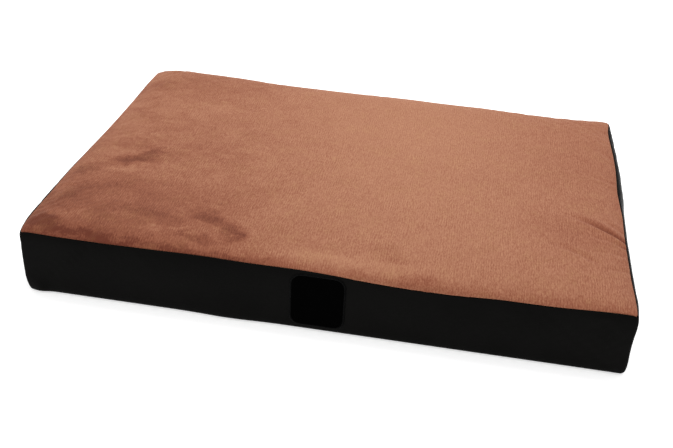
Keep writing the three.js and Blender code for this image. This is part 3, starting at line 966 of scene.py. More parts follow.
def topper_shape(P):
    P = P.copy()
    cover = top_square(np.clip(P[:, 0] * 1.004, -LX + 0.5, LX - 0.5), np.clip(P[:, 1] * 1.004, -LY + 0.5, LY - 0.5))[:, 2]
    k = np.clip((P[:, 2] - zf - 0.3) / (crown_under - zf - 0.3), 0, 1)
    P[:, 2] = zf + 0.3 + k * (np.minimum(cover - 3.4, crown_under) - zf - 0.3)
    return foam_shape(P, 11.0)


foam_in = 9.0
foam_base = rounded_block("foam_block_base", (-HX / MM + foam_in, -HY / MM + foam_in, 3.4), (HX / MM - foam_in, HY / MM - 17.0, zf - 0.2), 4.0, (50, 36, 5), lambda P: foam_shape(P, 3.0))
foam_topper = rounded_block("foam_block_topper", (-HX / MM + foam_in, -HY / MM + foam_in, zf + 0.3), (HX / MM - foam_in, HY / MM - 8.0, crown_under), 9.0, (70, 50, 4), topper_shape)


# Thread, tubes ------------------------------------------------------------------------------------------
def tubes(name, paths, radius, sides=6, up=None):
    """Closed tubes along paths (n, m, 3) in metres, flattened by radius=(across, up) if a pair. up (n, 3) or (3,)."""
    paths = np.asarray(paths, float)
    if paths.ndim == 2:
        paths = paths[None]
    n, m = paths.shape[:2]
    T = np.gradient(paths, axis=1)
    T /= np.maximum(np.linalg.norm(T, axis=-1, keepdims=True), 1e-12)
    U = np.broadcast_to(np.asarray((0, 0, 1.0) if up is None else up, float), (n, 3) if np.ndim(up) == 2 else (n, 3) if up is None or np.ndim(up) == 1 else np.shape(up))
    U = np.broadcast_to(U[:, None, :] if U.ndim == 2 else U, (n, m, 3))
    S = np.cross(T, U)
    S /= np.maximum(np.linalg.norm(S, axis=-1, keepdims=True), 1e-12)
    W = np.cross(S, T)
    ra, rb = (radius, radius) if np.ndim(radius) == 0 else radius
    a = np.arange(sides) * 2 * math.pi / sides
    V = paths[:, :, None] + ra * np.cos(a)[None, None, :, None] * S[:, :, None] + rb * np.sin(a)[None, None, :, None] * W[:, :, None]
    at = np.arange(n)[:, None, None] * m * sides
    i = np.arange(m - 1)[None, :, None] * sides
    j = np.arange(sides)[None, None, :]
    k = (j + 1) % sides
    q = np.stack([at + i + sides + j, at + i + sides + k, at + i + k, at + i + j], -1).reshape(-1, 4)
    first = at[:, :, 0] + np.arange(sides)[None]
    last = at[:, :, 0] + (m - 1) * sides + np.arange(sides)[None, ::-1]
    return fast_mesh(name, V.reshape(-1, 3), q, np.concatenate([first, last]))


def resample(pts, nrm, pitch):
    """Points and normals at a near-pitch spacing along a path; returns centres, tangents, normals."""
    L = np.concatenate([[0], np.cumsum(np.linalg.norm(np.diff(pts, axis=0), axis=1))])
    n = max(2, int(L[-1] / pitch))
    s = (np.arange(n) + 0.5) * L[-1] / n
    P = np.stack([np.interp(s, L, pts[:, k]) for k in range(3)], -1)
    N = np.stack([np.interp(s, L, nrm[:, k]) for k in range(3)], -1)
    A = np.stack([np.interp(s - pitch * 0.3, L, pts[:, k]) for k in range(3)], -1)
    B = np.stack([np.interp(s + pitch * 0.3, L, pts[:, k]) for k in range(3)], -1)
    T = B - A
    T /= np.linalg.norm(T, axis=1, keepdims=True)
    N /= np.linalg.norm(N, axis=1, keepdims=True)
    return P, T, N, L[-1] / n


def stitch_row(name, pts, nrm, pitch=3.0, thread=0.26, slant=0.06, seed=1, fill=0.8):
    """Lock stitches along a path on a surface: each rises out of its hole, lies along the cloth and dips back."""
    P, T, N, step = resample(np.asarray(pts), np.asarray(nrm), pitch * MM)
    rng = np.random.default_rng(seed)
    B = np.cross(N, T)
    u = np.linspace(-1, 1, 9)
    lift = np.array([-1.5, -0.35, 0.35, 0.62, 0.7, 0.62, 0.35, -0.35, -1.5]) * thread
    along = np.array([-1.0, -0.97, -0.86, -0.5, 0, 0.5, 0.86, 0.97, 1.0]) * step / MM * fill / 2
    skew = slant * (1 + 0.5 * rng.normal(size=len(P)))
    path = (
        P[:, None]
        + T[:, None] * (along[None, :, None] * MM)
        + N[:, None] * (lift[None, :, None] * MM)
        + B[:, None] * ((skew[:, None] * u[None] * step / MM)[..., None] * MM)
    )
    return tubes(name, path, (thread * MM, thread * 0.8 * MM), 6, up=N)


def back_line(z, a=t470 - 3.2, b=-t470 + 3.2, n=600):
    t = np.linspace(a, b, n)
    P, N, _ = wall_frame("back", t, np.full(n, sigma_at(z)))
    return P, N


ZIPMM = ZIP_Z / MM
stitch_upper = stitch_row("stitch_zip_upper", *back_line(ZIPMM + 9.6), seed=3)
stitch_lower = stitch_row("stitch_zip_lower", *back_line(ZIPMM - 9.4), seed=4)


# Zip ------------------------------------------------------------------------------------------------
def zip_tape(name, node, edge_up):
    lo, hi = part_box(node)
    x = np.linspace(lo.x / MM - 9, hi.x / MM + 9, 490)
    z0, z1 = lo.z / MM, hi.z / MM
    a = np.unique(np.concatenate([[0, 0.12, 0.35, 0.7], np.linspace(1.0, z1 - z0 - 1.0, 16), [z1 - z0 - 0.7, z1 - z0 - 0.35, z1 - z0 - 0.12, z1 - z0]]))
    X, A = np.meshgrid(x, a)
    e = np.minimum(A, z1 - z0 - A)
    near = (A if not edge_up else z1 - z0 - A)  # distance from the edge under the teeth
    Y = hi.y / MM - 0.3 * (1 - sstep(e, 0, 0.5)) + 0.10 * noise3(np.stack([X / 14, A / 9, A * 0 + 3], -1))
    Y -= 0.10 * np.cos(near * 2 * math.pi / 2.1) * (e > 0.8)  # ribs of the weave along its length
    Y = np.minimum(Y, hi.y / MM + 0.05)
    Y -= 2.0 * sstep(np.abs(X), hi.x / MM - 1.5, hi.x / MM + 3.5)  # its ends go in under the side walls
    # under the teeth the two tapes leave a slot for the slider's divider; past the teeth they meet
    side = -1 if edge_up else 1
    edge = z1 if edge_up else z0
    slot = 0.32 + (0.03 - 0.32) * sstep(np.abs(X), hi.x / MM - 5, hi.x / MM - 1)
    Z = z0 + A + (ZIP_Z / MM + side * slot - edge) * (1 - near / (z1 - z0))
    P = np.stack([X, Y, Z], -1) * MM
    P = P[:, ::-1]  # winding outwards, to +Y
    N = np.broadcast_to(np.array([0, 1.0, 0]), P.shape)
    return shell(name, P, N, 0.42 * MM)


tape_upper = zip_tape("zip_tape_weave_upper", "zip_tape_upper", False)
tape_lower = zip_tape("zip_tape_weave_lower", "zip_tape_lower", True)


def zip_coil(name, node, sign, phase):
    """One side of the coil: a flattened helix whose heads stop short of the chain's middle line."""
    lo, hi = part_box(node)
    pitch = 1.5
    x0, x1 = lo.x / MM + 0.4, hi.x / MM - 0.4
    turns = int((x1 - x0) / pitch)
    per = 12
    th = np.arange(turns * per + 1) * 2 * math.pi / per
    zin, zout = ZIPMM + sign * 0.52, ZIPMM + sign * 3.3
    zc, za = (zin + zout) / 2, abs(zout - zin) / 2
    yc, ya = (lo.y + hi.y) / 2 / MM, (hi.y - lo.y) / 2 / MM - 0.28
    c, s_ = np.cos(th + phase), np.sin(th + phase)
    sq = lambda v, p: np.sign(v) * np.abs(v) ** p
    z = zc + sign * za * sq(c, 0.62)
    y = yc + ya * sq(s_, 0.6)
    x = x0 + (th / (2 * math.pi) + phase / (2 * math.pi) * 0.5) * pitch
    return tubes(name, np.stack([x, y, z], -1) * MM, 0.3 * MM, 6, up=(1.0, 0, 0))


coil_upper = zip_coil("zip_teeth_upper", "zip_coil_upper", 1, 0.0)
coil_lower = zip_coil("zip_teeth_lower", "zip_coil_lower", -1, math.pi)


def plate(name, lo, hi, r_plan, dome, edge, thick, axis_out=1, nx=40, nz=24, warp=None, offset=None):
    """A small sewn-on patch in the XZ plane facing +Y (axis_out 1) or -Y (-1): rounded outline, domed, its edge turned down."""
    cx, cz = (lo[0] + hi[0]) / 2, (lo[1] + hi[1]) / 2
    hx, hz = (hi[0] - lo[0]) / 2, (hi[1] - lo[1]) / 2
    fine = edge * (1 - np.cos(np.linspace(0, math.pi / 2, 6)))
    u = np.concatenate([-hx + fine, np.linspace(-hx + edge * 1.6, hx - edge * 1.6, nx), (hx - fine)[::-1]])
    v = np.concatenate([-hz + fine, np.linspace(-hz + edge * 1.6, hz - edge * 1.6, nz), (hz - fine)[::-1]])
    U, V = np.meshgrid(u, v)
    e = np.minimum(np.minimum(U + hx, hx - U), np.minimum(V + hz, hz - V))
    Q = round_plan(np.stack([U, V, U * 0], -1), hx, hz, r_plan)
    X, Z = cx + Q[..., 0], cz + Q[..., 1]
    out = dome * (1 - (U / hx) ** 2) * (1 - (V / hz) ** 2) - groove(e, edge)
    P, N = warp(X, Z, out)
    if axis_out > 0:
        P, N = P[:, ::-1], N[:, ::-1]
    return shell(name, P, N, thick * MM), (cx, cz, hx, hz)


def rounded_ring(cx, cz, hx, hz, r, n=400):
    """Points on a rounded rectangle's outline, anticlockwise in (x, z)."""
    pts = []
    for sx, sz, a0 in ((1, 1, 0), (-1, 1, 90), (-1, -1, 180), (1, -1, 270)):
        for a in np.radians(np.linspace(a0, a0 + 90, 16)):
            pts.append((cx + sx * (hx - r) + r * math.cos(a), cz + sz * (hz - r) + r * math.sin(a)))
    pts.append(pts[0])
    pts = np.array(pts)
    L = np.concatenate([[0], np.cumsum(np.linalg.norm(np.diff(pts, axis=0), axis=1))])
    s = np.linspace(0, L[-1], n)
    return np.stack([np.interp(s, L, pts[:, k]) for k in (0, 1)], -1)


def x_to_t(side, x):
    ts = np.linspace(-LX, LX, 2001)
    X = wall_square(side, ts, np.full(ts.shape, 40.0))[..., 0]
    return np.interp(x, X, ts)


def on_wall(side, X, Z, out):
    """Place and normal in metres of a point out mm off a wall, at about X, Z mm."""
    t = x_to_t(side, X)
    sig = np.interp(-Z, -_D[:, 1], _SIG)
    P, N, _ = wall_frame(side, t, sig)
    return P + N * (out * MM)[..., None], N


# Front label: a blank patch with a satin-stitched border
lab_lo, lab_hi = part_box("front_label")
label_warp = lambda X, Z, out: on_wall("front", X, Z, out + 0.75)
label, (lcx, lcz, lhx, lhz) = plate("front_label_patch", (lab_lo.x / MM, lab_lo.z / MM), (lab_hi.x / MM, lab_hi.z / MM), 18, 0.35, 0.55, 0.6, -1, 60, 64, label_warp)


def satin_border(name, ring, half, r, lift, side):
    """Close satin stitches across an outline, in (x, z) mm on a wall."""
    L = np.concatenate([[0], np.cumsum(np.linalg.norm(np.diff(ring, axis=0), axis=1))])
    n = int(L[-1] / 0.62)
    s = np.arange(n) * L[-1] / n
    c = np.stack([np.interp(s, L, ring[:, k]) for k in (0, 1)], -1)
    c2 = np.stack([np.interp((s + 0.4) % L[-1], L, ring[:, k]) for k in (0, 1)], -1)
    T = c2 - c
    T /= np.linalg.norm(T, axis=1, keepdims=True)
    Nn = np.stack([T[:, 1], -T[:, 0]], -1)
    u = np.linspace(-1, 1, 7)
    prof = np.array([-0.55, 0.35, 0.8, 0.95, 0.8, 0.35, -0.55]) * lift
    q = c[:, None] + Nn[:, None] * (u[None, :, None] * half) + T[:, None] * (u[None, :, None] * 0.16)
    P, N = on_wall(side, q[..., 0], q[..., 1], np.broadcast_to(prof[None], q.shape[:2]) + 0.75)
    return tubes(name, P, (r * MM, r * 0.8 * MM), 5, up=N.mean(1))


label_border = satin_border("front_label_border", rounded_ring(lcx, lcz, lhx - 0.9, lhz - 0.9, 17.1), 1.5, 0.36, 0.55, "front")

# Care label: a blank satin tab, sewn along its top, free below
care_lo, care_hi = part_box("care_label")


def care_warp(X, Z, out):
    P, N = on_wall("back", X, Z, out * 0 + 0.0)
    k = np.clip((care_hi.z / MM - 3 - Z) / (care_hi.z - care_lo.z) * MM, 0, 1)
    lift = 0.55 + 3.0 * k**1.7 * (0.75 + 0.25 * np.sin((X - care_lo.x / MM) / 7.5)) - 1.1 * np.sin(np.clip(k, 0, 1) * math.pi) * 0.35
    return P + N * ((out + lift) * MM)[..., None], N


care, _ = plate("care_label_tab", (care_lo.x / MM, care_lo.z / MM), (care_hi.x / MM, care_hi.z / MM), 0.6, 0.0, 0.12, 0.24, 1, 44, 34, care_warp)
cx_line = np.linspace(care_lo.x / MM + 2, care_hi.x / MM - 2, 60)
cP, cN = care_warp(cx_line, np.full(60, care_hi.z / MM - 2.6), np.full(60, 0.05))
care_stitch = stitch_row("stitch_care_label", cP, cN, pitch=2.6, thread=0.2, seed=8)

# Zip end tabs
end_tabs = []
for side, node in ((1, "zip_end_tab_right"), (-1, "zip_end_tab_left")):
    lo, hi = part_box(node)

    def tab_warp(X, Z, out, lo=lo, hi=hi):
        w = sstep(np.abs(X), 466, 496)
        Y = hi.y / MM - 0.25 + out + 5.0 * w + 0.06 * noise3(np.stack([X / 6, Z / 6, X * 0], -1))
        return np.stack([X, Y, Z], -1) * MM, np.broadcast_to(np.array([0, 1.0, 0]), X.shape + (3,))

    tab, (cx, cz, hx, hz) = plate(node.replace("zip_end_tab", "end_tab"), (lo.x / MM, lo.z / MM), (hi.x / MM, hi.z / MM), 1.6, 0.25, 0.5, 0.75, 1, 30, 18, tab_warp)
    ring = rounded_ring(cx, cz, hx - 2.0, hz - 2.0, 1.2, 300)
    rP, rN = tab_warp(ring[:, 0], ring[:, 1], np.full(300, 0.08))
    st = stitch_row("stitch_" + tab.name, rP, rN, pitch=2.5, thread=0.2, seed=11 + side)
    end_tabs.append((tab, st, node))


# ------------------------------------------------------------------------------------------------
# Materials
# ------------------------------------------------------------------------------------------------
def lin(r, g, b):
    """Linear colour of an sRGB one given in 0 to 255."""
    f = lambda v: v / 255 / 12.92 if v / 255 <= 0.04045 else ((v / 255 + 0.055) / 1.055) ** 2.4
    return (f(r), f(g), f(b), 1.0)


class Mat:
    """A small builder of node materials. All patterns are in object space, in metres."""

    def __init__(self, name, **fixed):
        self.m = bpy.data.materials.new(name)
        self.m.use_nodes = True
        self.t = self.m.node_tree
        self.b = self.t.nodes["Principled BSDF"]
        for k, v in fixed.items():
            self.b.inputs[k.replace("_", " ")].default_value = v
        self.co = self.t.nodes.new("ShaderNodeTexCoord").outputs["Object"]

    def node(self, kind, **settings):
        n = self.t.nodes.new("ShaderNode" + kind)
        for k, v in settings.items():
            setattr(n, k, v)
        return n

    def wire(self, a, b):
        self.t.links.new(a, b)

    def feed(self, socket, v):
        if isinstance(v, bpy.types.NodeSocket):
            self.wire(v, socket)
        else:
            socket.default_value = v

    def scaled(self, scale, rotate=(0, 0, 0), offset=(0, 0, 0), of=None):
        n = self.node("Mapping")
        self.wire(of or self.co, n.inputs["Vector"])
        n.inputs["Scale"].default_value = scale
        n.inputs["Rotation"].default_value = rotate
        n.inputs["Location"].default_value = offset
        return n.outputs["Vector"]

    def noise(self, scale, detail=2.0, rough=0.5, distortion=0.0, vec=None, rotate=(0, 0, 0), offset=(0, 0, 0)):
        n = self.node("TexNoise")
        s = scale if hasattr(scale, "__len__") else (scale,) * 3
        self.wire(self.scaled(s, rotate, offset, vec), n.inputs["Vector"])
        n.inputs["Scale"].default_value = 1.0
        n.inputs["Detail"].default_value = detail
        n.inputs["Roughness"].default_value = rough
        n.inputs["Distortion"].default_value = distortion
        return n.outputs["Fac"]

    def voronoi(self, scale, feature="F1", rand=1.0, vec=None, out="Distance", smooth=0.0):
        n = self.node("TexVoronoi", feature=feature)
        s = scale if hasattr(scale, "__len__") else (scale,) * 3
        self.wire(self.scaled(s, of=vec), n.inputs["Vector"])
        n.inputs["Scale"].default_value = 1.0
        n.inputs["Randomness"].default_value = rand
        if feature == "SMOOTH_F1":
            n.inputs["Smoothness"].default_value = smooth
        return n.outputs[out]

    def math(self, op, a, b=0.5, c=None, clamp=False):
        n = self.node("Math", operation=op, use_clamp=clamp)
        self.feed(n.inputs[0], a)
        self.feed(n.inputs[1], b)
        if c is not None:
            self.feed(n.inputs[2], c)
        return n.outputs[0]

    def span(self, v, a, b, c=0.0, d=1.0, smooth=True):
        n = self.node("MapRange", interpolation_type="SMOOTHSTEP" if smooth else "LINEAR", clamp=True)
        self.feed(n.inputs["Value"], v)
        for k, x in zip(("From Min", "From Max", "To Min", "To Max"), (a, b, c, d)):
            n.inputs[k].default_value = x
        return n.outputs["Result"]

    def ramp(self, v, stops, interpolation="LINEAR"):
        n = self.node("ValToRGB")
        self.feed(n.inputs["Fac"], v)
        r = n.color_ramp
        r.interpolation = interpolation
        while len(r.elements) < len(stops):
            r.elements.new(0.5)
        for e, (p, c) in zip(r.elements, stops):
            e.position, e.color = p, c
        return n.outputs["Color"]

    def mix(self, fac, a, b, mode="MIX"):
        n = self.node("Mix", data_type="RGBA", blend_type=mode)
        self.feed(n.inputs["Factor"], fac)
        self.feed(n.inputs[6], a)
        self.feed(n.inputs[7], b)
        return n.outputs[2]

    def bump(self, height, distance, strength=1.0, under=None):
        n = self.node("Bump")
        n.inputs["Strength"].default_value = strength
        n.inputs["Distance"].default_value = distance
        self.wire(height, n.inputs["Height"])
        if under is not None:
            self.wire(under, n.inputs["Normal"])
        return n.outputs["Normal"]

    def xyz(self):
        n = self.node("SeparateXYZ")
        self.wire(self.co, n.inputs[0])
        return n.outputs

    def spot(self, x, y, rx, ry, turn=0.0, soft=(1.0, 0.0), of=None):
        """1 inside an ellipse at (x, y) in mm on the plan, falling to 0 at its rim."""
        n = self.node("Mapping", vector_type="TEXTURE")
        self.wire(of or self.co, n.inputs["Vector"])
        n.inputs["Location"].default_value = (x * MM, y * MM, 0)
        n.inputs["Rotation"].default_value = (0, 0, math.radians(turn))
        n.inputs["Scale"].default_value = (rx * MM, ry * MM, 1e6)
        ln = self.node("VectorMath", operation="LENGTH")
        self.wire(n.outputs[0], ln.inputs[0])
        return self.span(ln.outputs["Value"], soft[0], soft[1])

    def done(self, color=None, rough=None, normal=None):
        if color is not None:
            self.feed(self.b.inputs["Base Color"], color)
        if rough is not None:
            self.feed(self.b.inputs["Roughness"], rough)
        if normal is not None:
            self.wire(normal, self.b.inputs["Normal"])
        return self.m


def velvet():
    m = Mat("plush_velvet")
    b = m.b.inputs
    b["Sheen Weight"].default_value = 0.4
    b["Sheen Roughness"].default_value = 0.42
    b["Sheen Tint"].default_value = lin(232, 178, 150)
    b["Specular IOR Level"].default_value = 0.12
    # grain of the pile: wavering ribs and worms along Y, two to five millimetres across
    x, y, z = m.xyz()
    worm = m.noise((680, 165, 400), 2.0, 0.5, 0.8)
    worm2 = m.noise((300, 100, 200), 2.0, 0.5, 1.2, offset=(3.1, 1.7, 0))
    pile = m.noise(2200, 1.0, 0.5)
    worms = m.span(worm, 0.36, 0.64)
    worms2 = m.span(worm2, 0.34, 0.68)
    waver = m.noise((55, 24, 20), 2.0, 0.55, 0.4, offset=(1.3, 0.2, 0))
    phase = m.math("MULTIPLY_ADD", waver, 17.0, m.math("MULTIPLY", x, 2 * math.pi / 0.0041))
    rib = m.math("MULTIPLY_ADD", m.math("SINE", phase), 0.5, 0.5)
    shows = m.span(m.noise((16, 22, 16), 2.0, 0.6, offset=(0.1, 0.9, 0)), 0.32, 0.66, 0.25, 1.0)
    # brushed nap: broad soft blotches, more of them at the left and towards the front; the darkening towards the left
    # and the front is partly nap and partly painted shade
    broad = m.noise((4.5, 7.0, 4), 2.0, 0.5, 0.6, rotate=(0, 0, 0.35))
    blotch = m.noise((17, 26, 18), 3.0, 0.6, 1.2, rotate=(0, 0, 0.45), offset=(0.7, 0.2, 0))
    left = m.span(x, 0.10, -0.56)
    front_ = m.span(y, 0.06, -0.34)
    corner = m.math("MULTIPLY", m.span(x, -0.02, -0.52), m.span(y, -0.02, -0.36))
    nap = m.math("ADD", m.math("MULTIPLY", m.span(broad, 0.32, 0.68), 0.5), m.math("MULTIPLY", m.span(blotch, 0.33, 0.67), 0.5))
    dark = m.math("MULTIPLY", m.math("SUBTRACT", 0.5, nap), m.math("MULTIPLY_ADD", left, 0.24, 0.06))
    # partly painted shade: darker towards the left, the front and the front left corner, standing in for the sheen's
    # fall-off; partly nap
    dark = m.math("MULTIPLY_ADD", left, 0.25, dark)
    dark = m.math("MULTIPLY_ADD", m.math("MULTIPLY", front_, m.span(x, 0.30, -0.25, 0.35, 1.0)), 0.13, dark)
    dark = m.math("MULTIPLY_ADD", corner, 0.10, dark)
    dark = m.math("MULTIPLY_ADD", m.math("MULTIPLY", m.span(x, 0.10, 0.55), m.span(y, -0.30, 0.10, 0.5, 1.0)), 0.21, dark)
    ragged = m.node("TexNoise")
    m.wire(m.scaled((34, 44, 34)), ragged.inputs["Vector"])
    ragged.inputs["Scale"].default_value = 1.0
    ragged.inputs["Detail"].default_value = 4.0
    ragged.inputs["Roughness"].default_value = 0.65
    off = m.node("VectorMath", operation="SUBTRACT")
    m.wire(ragged.outputs["Color"], off.inputs[0])
    off.inputs[1].default_value = (0.5, 0.5, 0.5)
    frayed = m.node("VectorMath", operation="MULTIPLY_ADD")
    m.wire(off.outputs[0], frayed.inputs[0])
    frayed.inputs[1].default_value = (0.075, 0.06, 0.0)
    m.wire(m.co, frayed.inputs[2])
    frayed = frayed.outputs[0]
    for args, k in (
        ((-398, -86, 46, 22, 18), 0.55),
        ((-372, -50, 30, 18, 55), 0.40),
        ((-462, -138, 34, 22, 50), 0.36),
        ((-458, -233, 40, 16, 62), 0.30),
        ((-196, -250, 42, 20, -20), 0.42),
        ((-150, -288, 34, 20, -52), 0.52),
        ((-205, -311, 60, 10, -10), 0.28),
        ((-280, -262, 50, 14, -6), 0.22),
        ((119, -298, 26, 14, 0), 0.14),
        ((165, -338, 40, 12, 3), 0.16),
        ((98, -270, 22, 20, 0), 0.12),
        ((400, -150, 110, 46, -24), 0.12),
        ((-462, -318, 50, 20, -16), 0.62),
        ((-365, -337, 76, 12, -8), 0.55),
        ((-230, -340, 90, 10, -2), 0.36),
        ((-120, -342, 80, 8, 0), 0.26),
        ((-330, -250, 60, 16, 8), 0.20),
        ((-420, -190, 60, 18, 14), 0.18),
        ((40, -318, 130, 22, 0), -0.16),
        ((-260, -296, 60, 12, 2), -0.24),
        ((-430, -285, 40, 12, 8), -0.18),
        ((-390, -120, 50, 12, 10), -0.14),
        ((-420, 20, 60, 30, 30), -0.08),
    ):
        edge = m.math("MULTIPLY", m.spot(*args, soft=(1.35, 0.0), of=frayed), m.span(blotch, 0.30, 0.56, 0.5, 1.0))
        dark = m.math("MULTIPLY_ADD", edge, k, dark)
    # painted shade: darker in the pulls' valleys and beside them, together with the crushed pile
    crease_shade = m.node("Attribute", attribute_type="GEOMETRY", attribute_name="crushed_and_shaded").outputs["Fac"]
    dark = m.math("MULTIPLY_ADD", crease_shade, 0.42, dark)
    # painted shade: the plush darker where it rolls over the top edge, standing in for the sheen's fall-off seen
    # head-on
    dark = m.math("MULTIPLY_ADD", m.span(z, 0.1262, 0.1165), 0.16, dark)
    dark = m.math("MULTIPLY_ADD", m.math("SUBTRACT", 0.5, worms), 0.24, dark)
    dark = m.math("MULTIPLY_ADD", m.math("SUBTRACT", 0.5, worms2), 0.10, dark)
    dark = m.math("MULTIPLY_ADD", m.math("MULTIPLY", m.math("SUBTRACT", 0.5, rib), shows), 0.17, dark)
    dark = m.math("MULTIPLY_ADD", m.math("SUBTRACT", pile, 0.5), 0.30, dark)
    dark = m.math("ADD", dark, 0.20)
    color = m.ramp(dark, [(0.0, lin(157, 112, 85)), (0.17, lin(149, 102, 78)), (0.5, lin(125, 74, 54)), (1.0, lin(88, 42, 29))])
    gold = m.math("MULTIPLY", m.span(m.noise((26, 26, 26), 2.0, 0.6, offset=(0.4, 0.8, 0)), 0.45, 0.7), m.span(worm2, 0.3, 0.7))
    color = m.mix(m.math("MULTIPLY", gold, 0.35), color, m.ramp(dark, [(0.0, lin(156, 114, 80)), (0.6, lin(122, 80, 52))]))
    h = m.math("ADD", m.math("MULTIPLY", worms, 0.5), m.math("MULTIPLY", rib, 0.4))
    n1 = m.bump(h, 0.0006, 0.5)
    n2 = m.bump(pile, 0.0003, 0.5, n1)
    rough = m.span(dark, 0.0, 1.0, 0.86, 0.96)
    return m.done(color, rough, n2)


def coated(name, base=(7.2, 6.8, 6.2), spec=0.02, scale=1.0):
    """Thin coated fabric: fine leather grain over a barely visible weave."""
    m = Mat(name)
    b = m.b.inputs
    b["Specular IOR Level"].default_value = spec
    b["Sheen Weight"].default_value = 0.0
    g1 = m.voronoi(950 * scale, "SMOOTH_F1", 1.0, smooth=0.35)
    warp_ = m.noise(320 * scale, 3.0, 0.6)
    fine = m.noise(2600 * scale, 2.0, 0.5)
    weave = m.node("TexWave", wave_type="BANDS", bands_direction="X")
    m.wire(m.scaled((1, 1, 1)), weave.inputs["Vector"])
    weave.inputs["Scale"].default_value = 260
    weave.inputs["Distortion"].default_value = 0.8
    weave.inputs["Detail"].default_value = 1.0
    h = m.math("ADD", m.math("MULTIPLY", g1, 0.8), m.math("MULTIPLY", warp_, 0.6))
    h = m.math("MULTIPLY_ADD", weave.outputs["Fac"], 0.10, h)
    n1 = m.bump(h, 0.00035, 0.6)
    n2 = m.bump(fine, 0.00012, 0.5, n1)
    cloud = m.noise(11, 3.0, 0.6)
    scuff = m.span(m.noise((60, 60, 150), 4.0, 0.7, 0.8), 0.60, 0.78)
    x, y, z = m.xyz()
    dusty = m.math("MULTIPLY", scuff, m.span(z, 0.05, 0.0, 0.10, 0.5))
    c0 = lin(*base)
    c1 = lin(*[v * 1.3 + 1.5 for v in base])
    color = m.mix(m.span(cloud, 0.35, 0.65, 0.0, 0.45), c0, c1)
    color = m.mix(dusty, color, lin(*[v * 1.7 + 6 for v in base]))
    rough = m.math("ADD", m.span(cloud, 0.3, 0.7, 0.38, 0.46), m.span(g1, 0.0, 0.7, -0.05, 0.06))
    return m.done(color, rough, n2)


def woven(name, dark_c, light_c, pitch=0.0009, sheen=0.3, spec=0.15, diag=False, plane="XZ"):
    """Plain or twill weave from two crossed bands."""
    m = Mat(name)
    m.b.inputs["Sheen Weight"].default_value = sheen
    m.b.inputs["Sheen Roughness"].default_value = 0.5
    m.b.inputs["Specular IOR Level"].default_value = spec
    x, y, z = m.xyz()
    v = z if plane == "XZ" else y
    k = 2 * math.pi / pitch
    a = m.math("SINE", m.math("MULTIPLY", m.math("ADD", x, m.math("MULTIPLY", v, 1.0 if diag else 0.0)), k))
    b2 = m.math("SINE", m.math("MULTIPLY", m.math("SUBTRACT", v, m.math("MULTIPLY", x, 0.5 if diag else 0.0)), k))
    w = m.math("MULTIPLY_ADD", m.math("MULTIPLY", a, b2), 0.5, 0.5)
    fuzz = m.noise(1800, 2.0, 0.6)
    cloud = m.noise(60, 3.0, 0.6)
    f = m.math("ADD", m.math("MULTIPLY", w, 0.55), m.math("MULTIPLY", fuzz, 0.3))
    f = m.math("MULTIPLY_ADD", cloud, 0.25, f)
    color = m.ramp(f, [(0.2, dark_c), (0.9, light_c)])
    n1 = m.bump(w, pitch * 0.22, 0.8)
    n2 = m.bump(fuzz, 0.0002, 0.4, n1)
    return m.done(color, m.span(cloud, 0.3, 0.7, 0.78, 0.9), n2)


def satin(name, c0, c1):
    m = Mat(name)
    m.b.inputs["Specular IOR Level"].default_value = 0.4
    m.b.inputs["Sheen Weight"].default_value = 0.25
    x, y, z = m.xyz()
    k = 2 * math.pi / 0.00042
    warp_ = m.math("SINE", m.math("MULTIPLY", x, k))
    weft = m.math("SINE", m.math("MULTIPLY", z, k * 0.5))
    w = m.math("MULTIPLY_ADD", warp_, 0.35, m.math("MULTIPLY", weft, 0.15))
    cloud = m.noise(90, 3.0, 0.6)
    color = m.mix(m.math("ADD", m.math("MULTIPLY", w, 0.3), cloud, clamp=True), c0, c1)
    return m.done(color, m.span(cloud, 0.3, 0.7, 0.34, 0.46), m.bump(w, 0.00006, 0.6))


def thread(name, c0, c1, gloss=0.3):
    """Polyester sewing thread: two plies twisted."""
    m = Mat(name)
    m.b.inputs["Specular IOR Level"].default_value = gloss
    m.b.inputs["Sheen Weight"].default_value = gloss * 0.5
    x, y, z = m.xyz()
    ply = m.math("SINE", m.math("MULTIPLY", m.math("ADD", x, m.math("MULTIPLY", z, 0.9)), 2 * math.pi / 0.00055))
    fuzz = m.noise(2400, 2.0, 0.6)
    f = m.math("MULTIPLY_ADD", ply, 0.3, m.math("MULTIPLY", fuzz, 0.9))
    return m.done(m.ramp(f, [(0.15, c0), (0.85, c1)]), m.span(fuzz, 0.3, 0.7, 0.5, 0.68), m.bump(ply, 0.00008, 0.7))


def nylon(name):
    m = Mat(name)
    m.b.inputs["Specular IOR Level"].default_value = 0.45
    m.b.inputs["Coat Weight"].default_value = 0.15
    m.b.inputs["Coat Roughness"].default_value = 0.3
    n = m.noise(700, 3.0, 0.6)
    wear = m.span(m.noise(160, 3.0, 0.6), 0.55, 0.75)
    color = m.mix(wear, lin(23, 23, 24), lin(44, 44, 46))
    return m.done(color, m.span(n, 0.3, 0.7, 0.3, 0.44), m.bump(n, 0.00005, 0.5))


def metal(name):
    """Gunmetal plating, brushed, brighter where it is rubbed."""
    m = Mat(name)
    m.b.inputs["Metallic"].default_value = 1.0
    brushed = m.noise((300, 2200, 2200), 3.0, 0.6)
    patina = m.noise(260, 4.0, 0.65)
    pits = m.voronoi(1400, "F1")
    geo = m.node("NewGeometry").outputs["Pointiness"]
    rub = m.span(geo, 0.515, 0.60)
    color = m.mix(m.span(patina, 0.35, 0.7), lin(96, 96, 99), lin(124, 123, 122))
    color = m.mix(rub, color, lin(188, 186, 181))
    rough = m.math("ADD", m.span(brushed, 0.3, 0.7, 0.22, 0.36), m.math("MULTIPLY", patina, 0.1))
    h = m.math("ADD", brushed, m.span(pits, 0.0, 0.25, 0.0, 0.4))
    return m.done(color, rough, m.bump(h, 0.00003, 0.7))


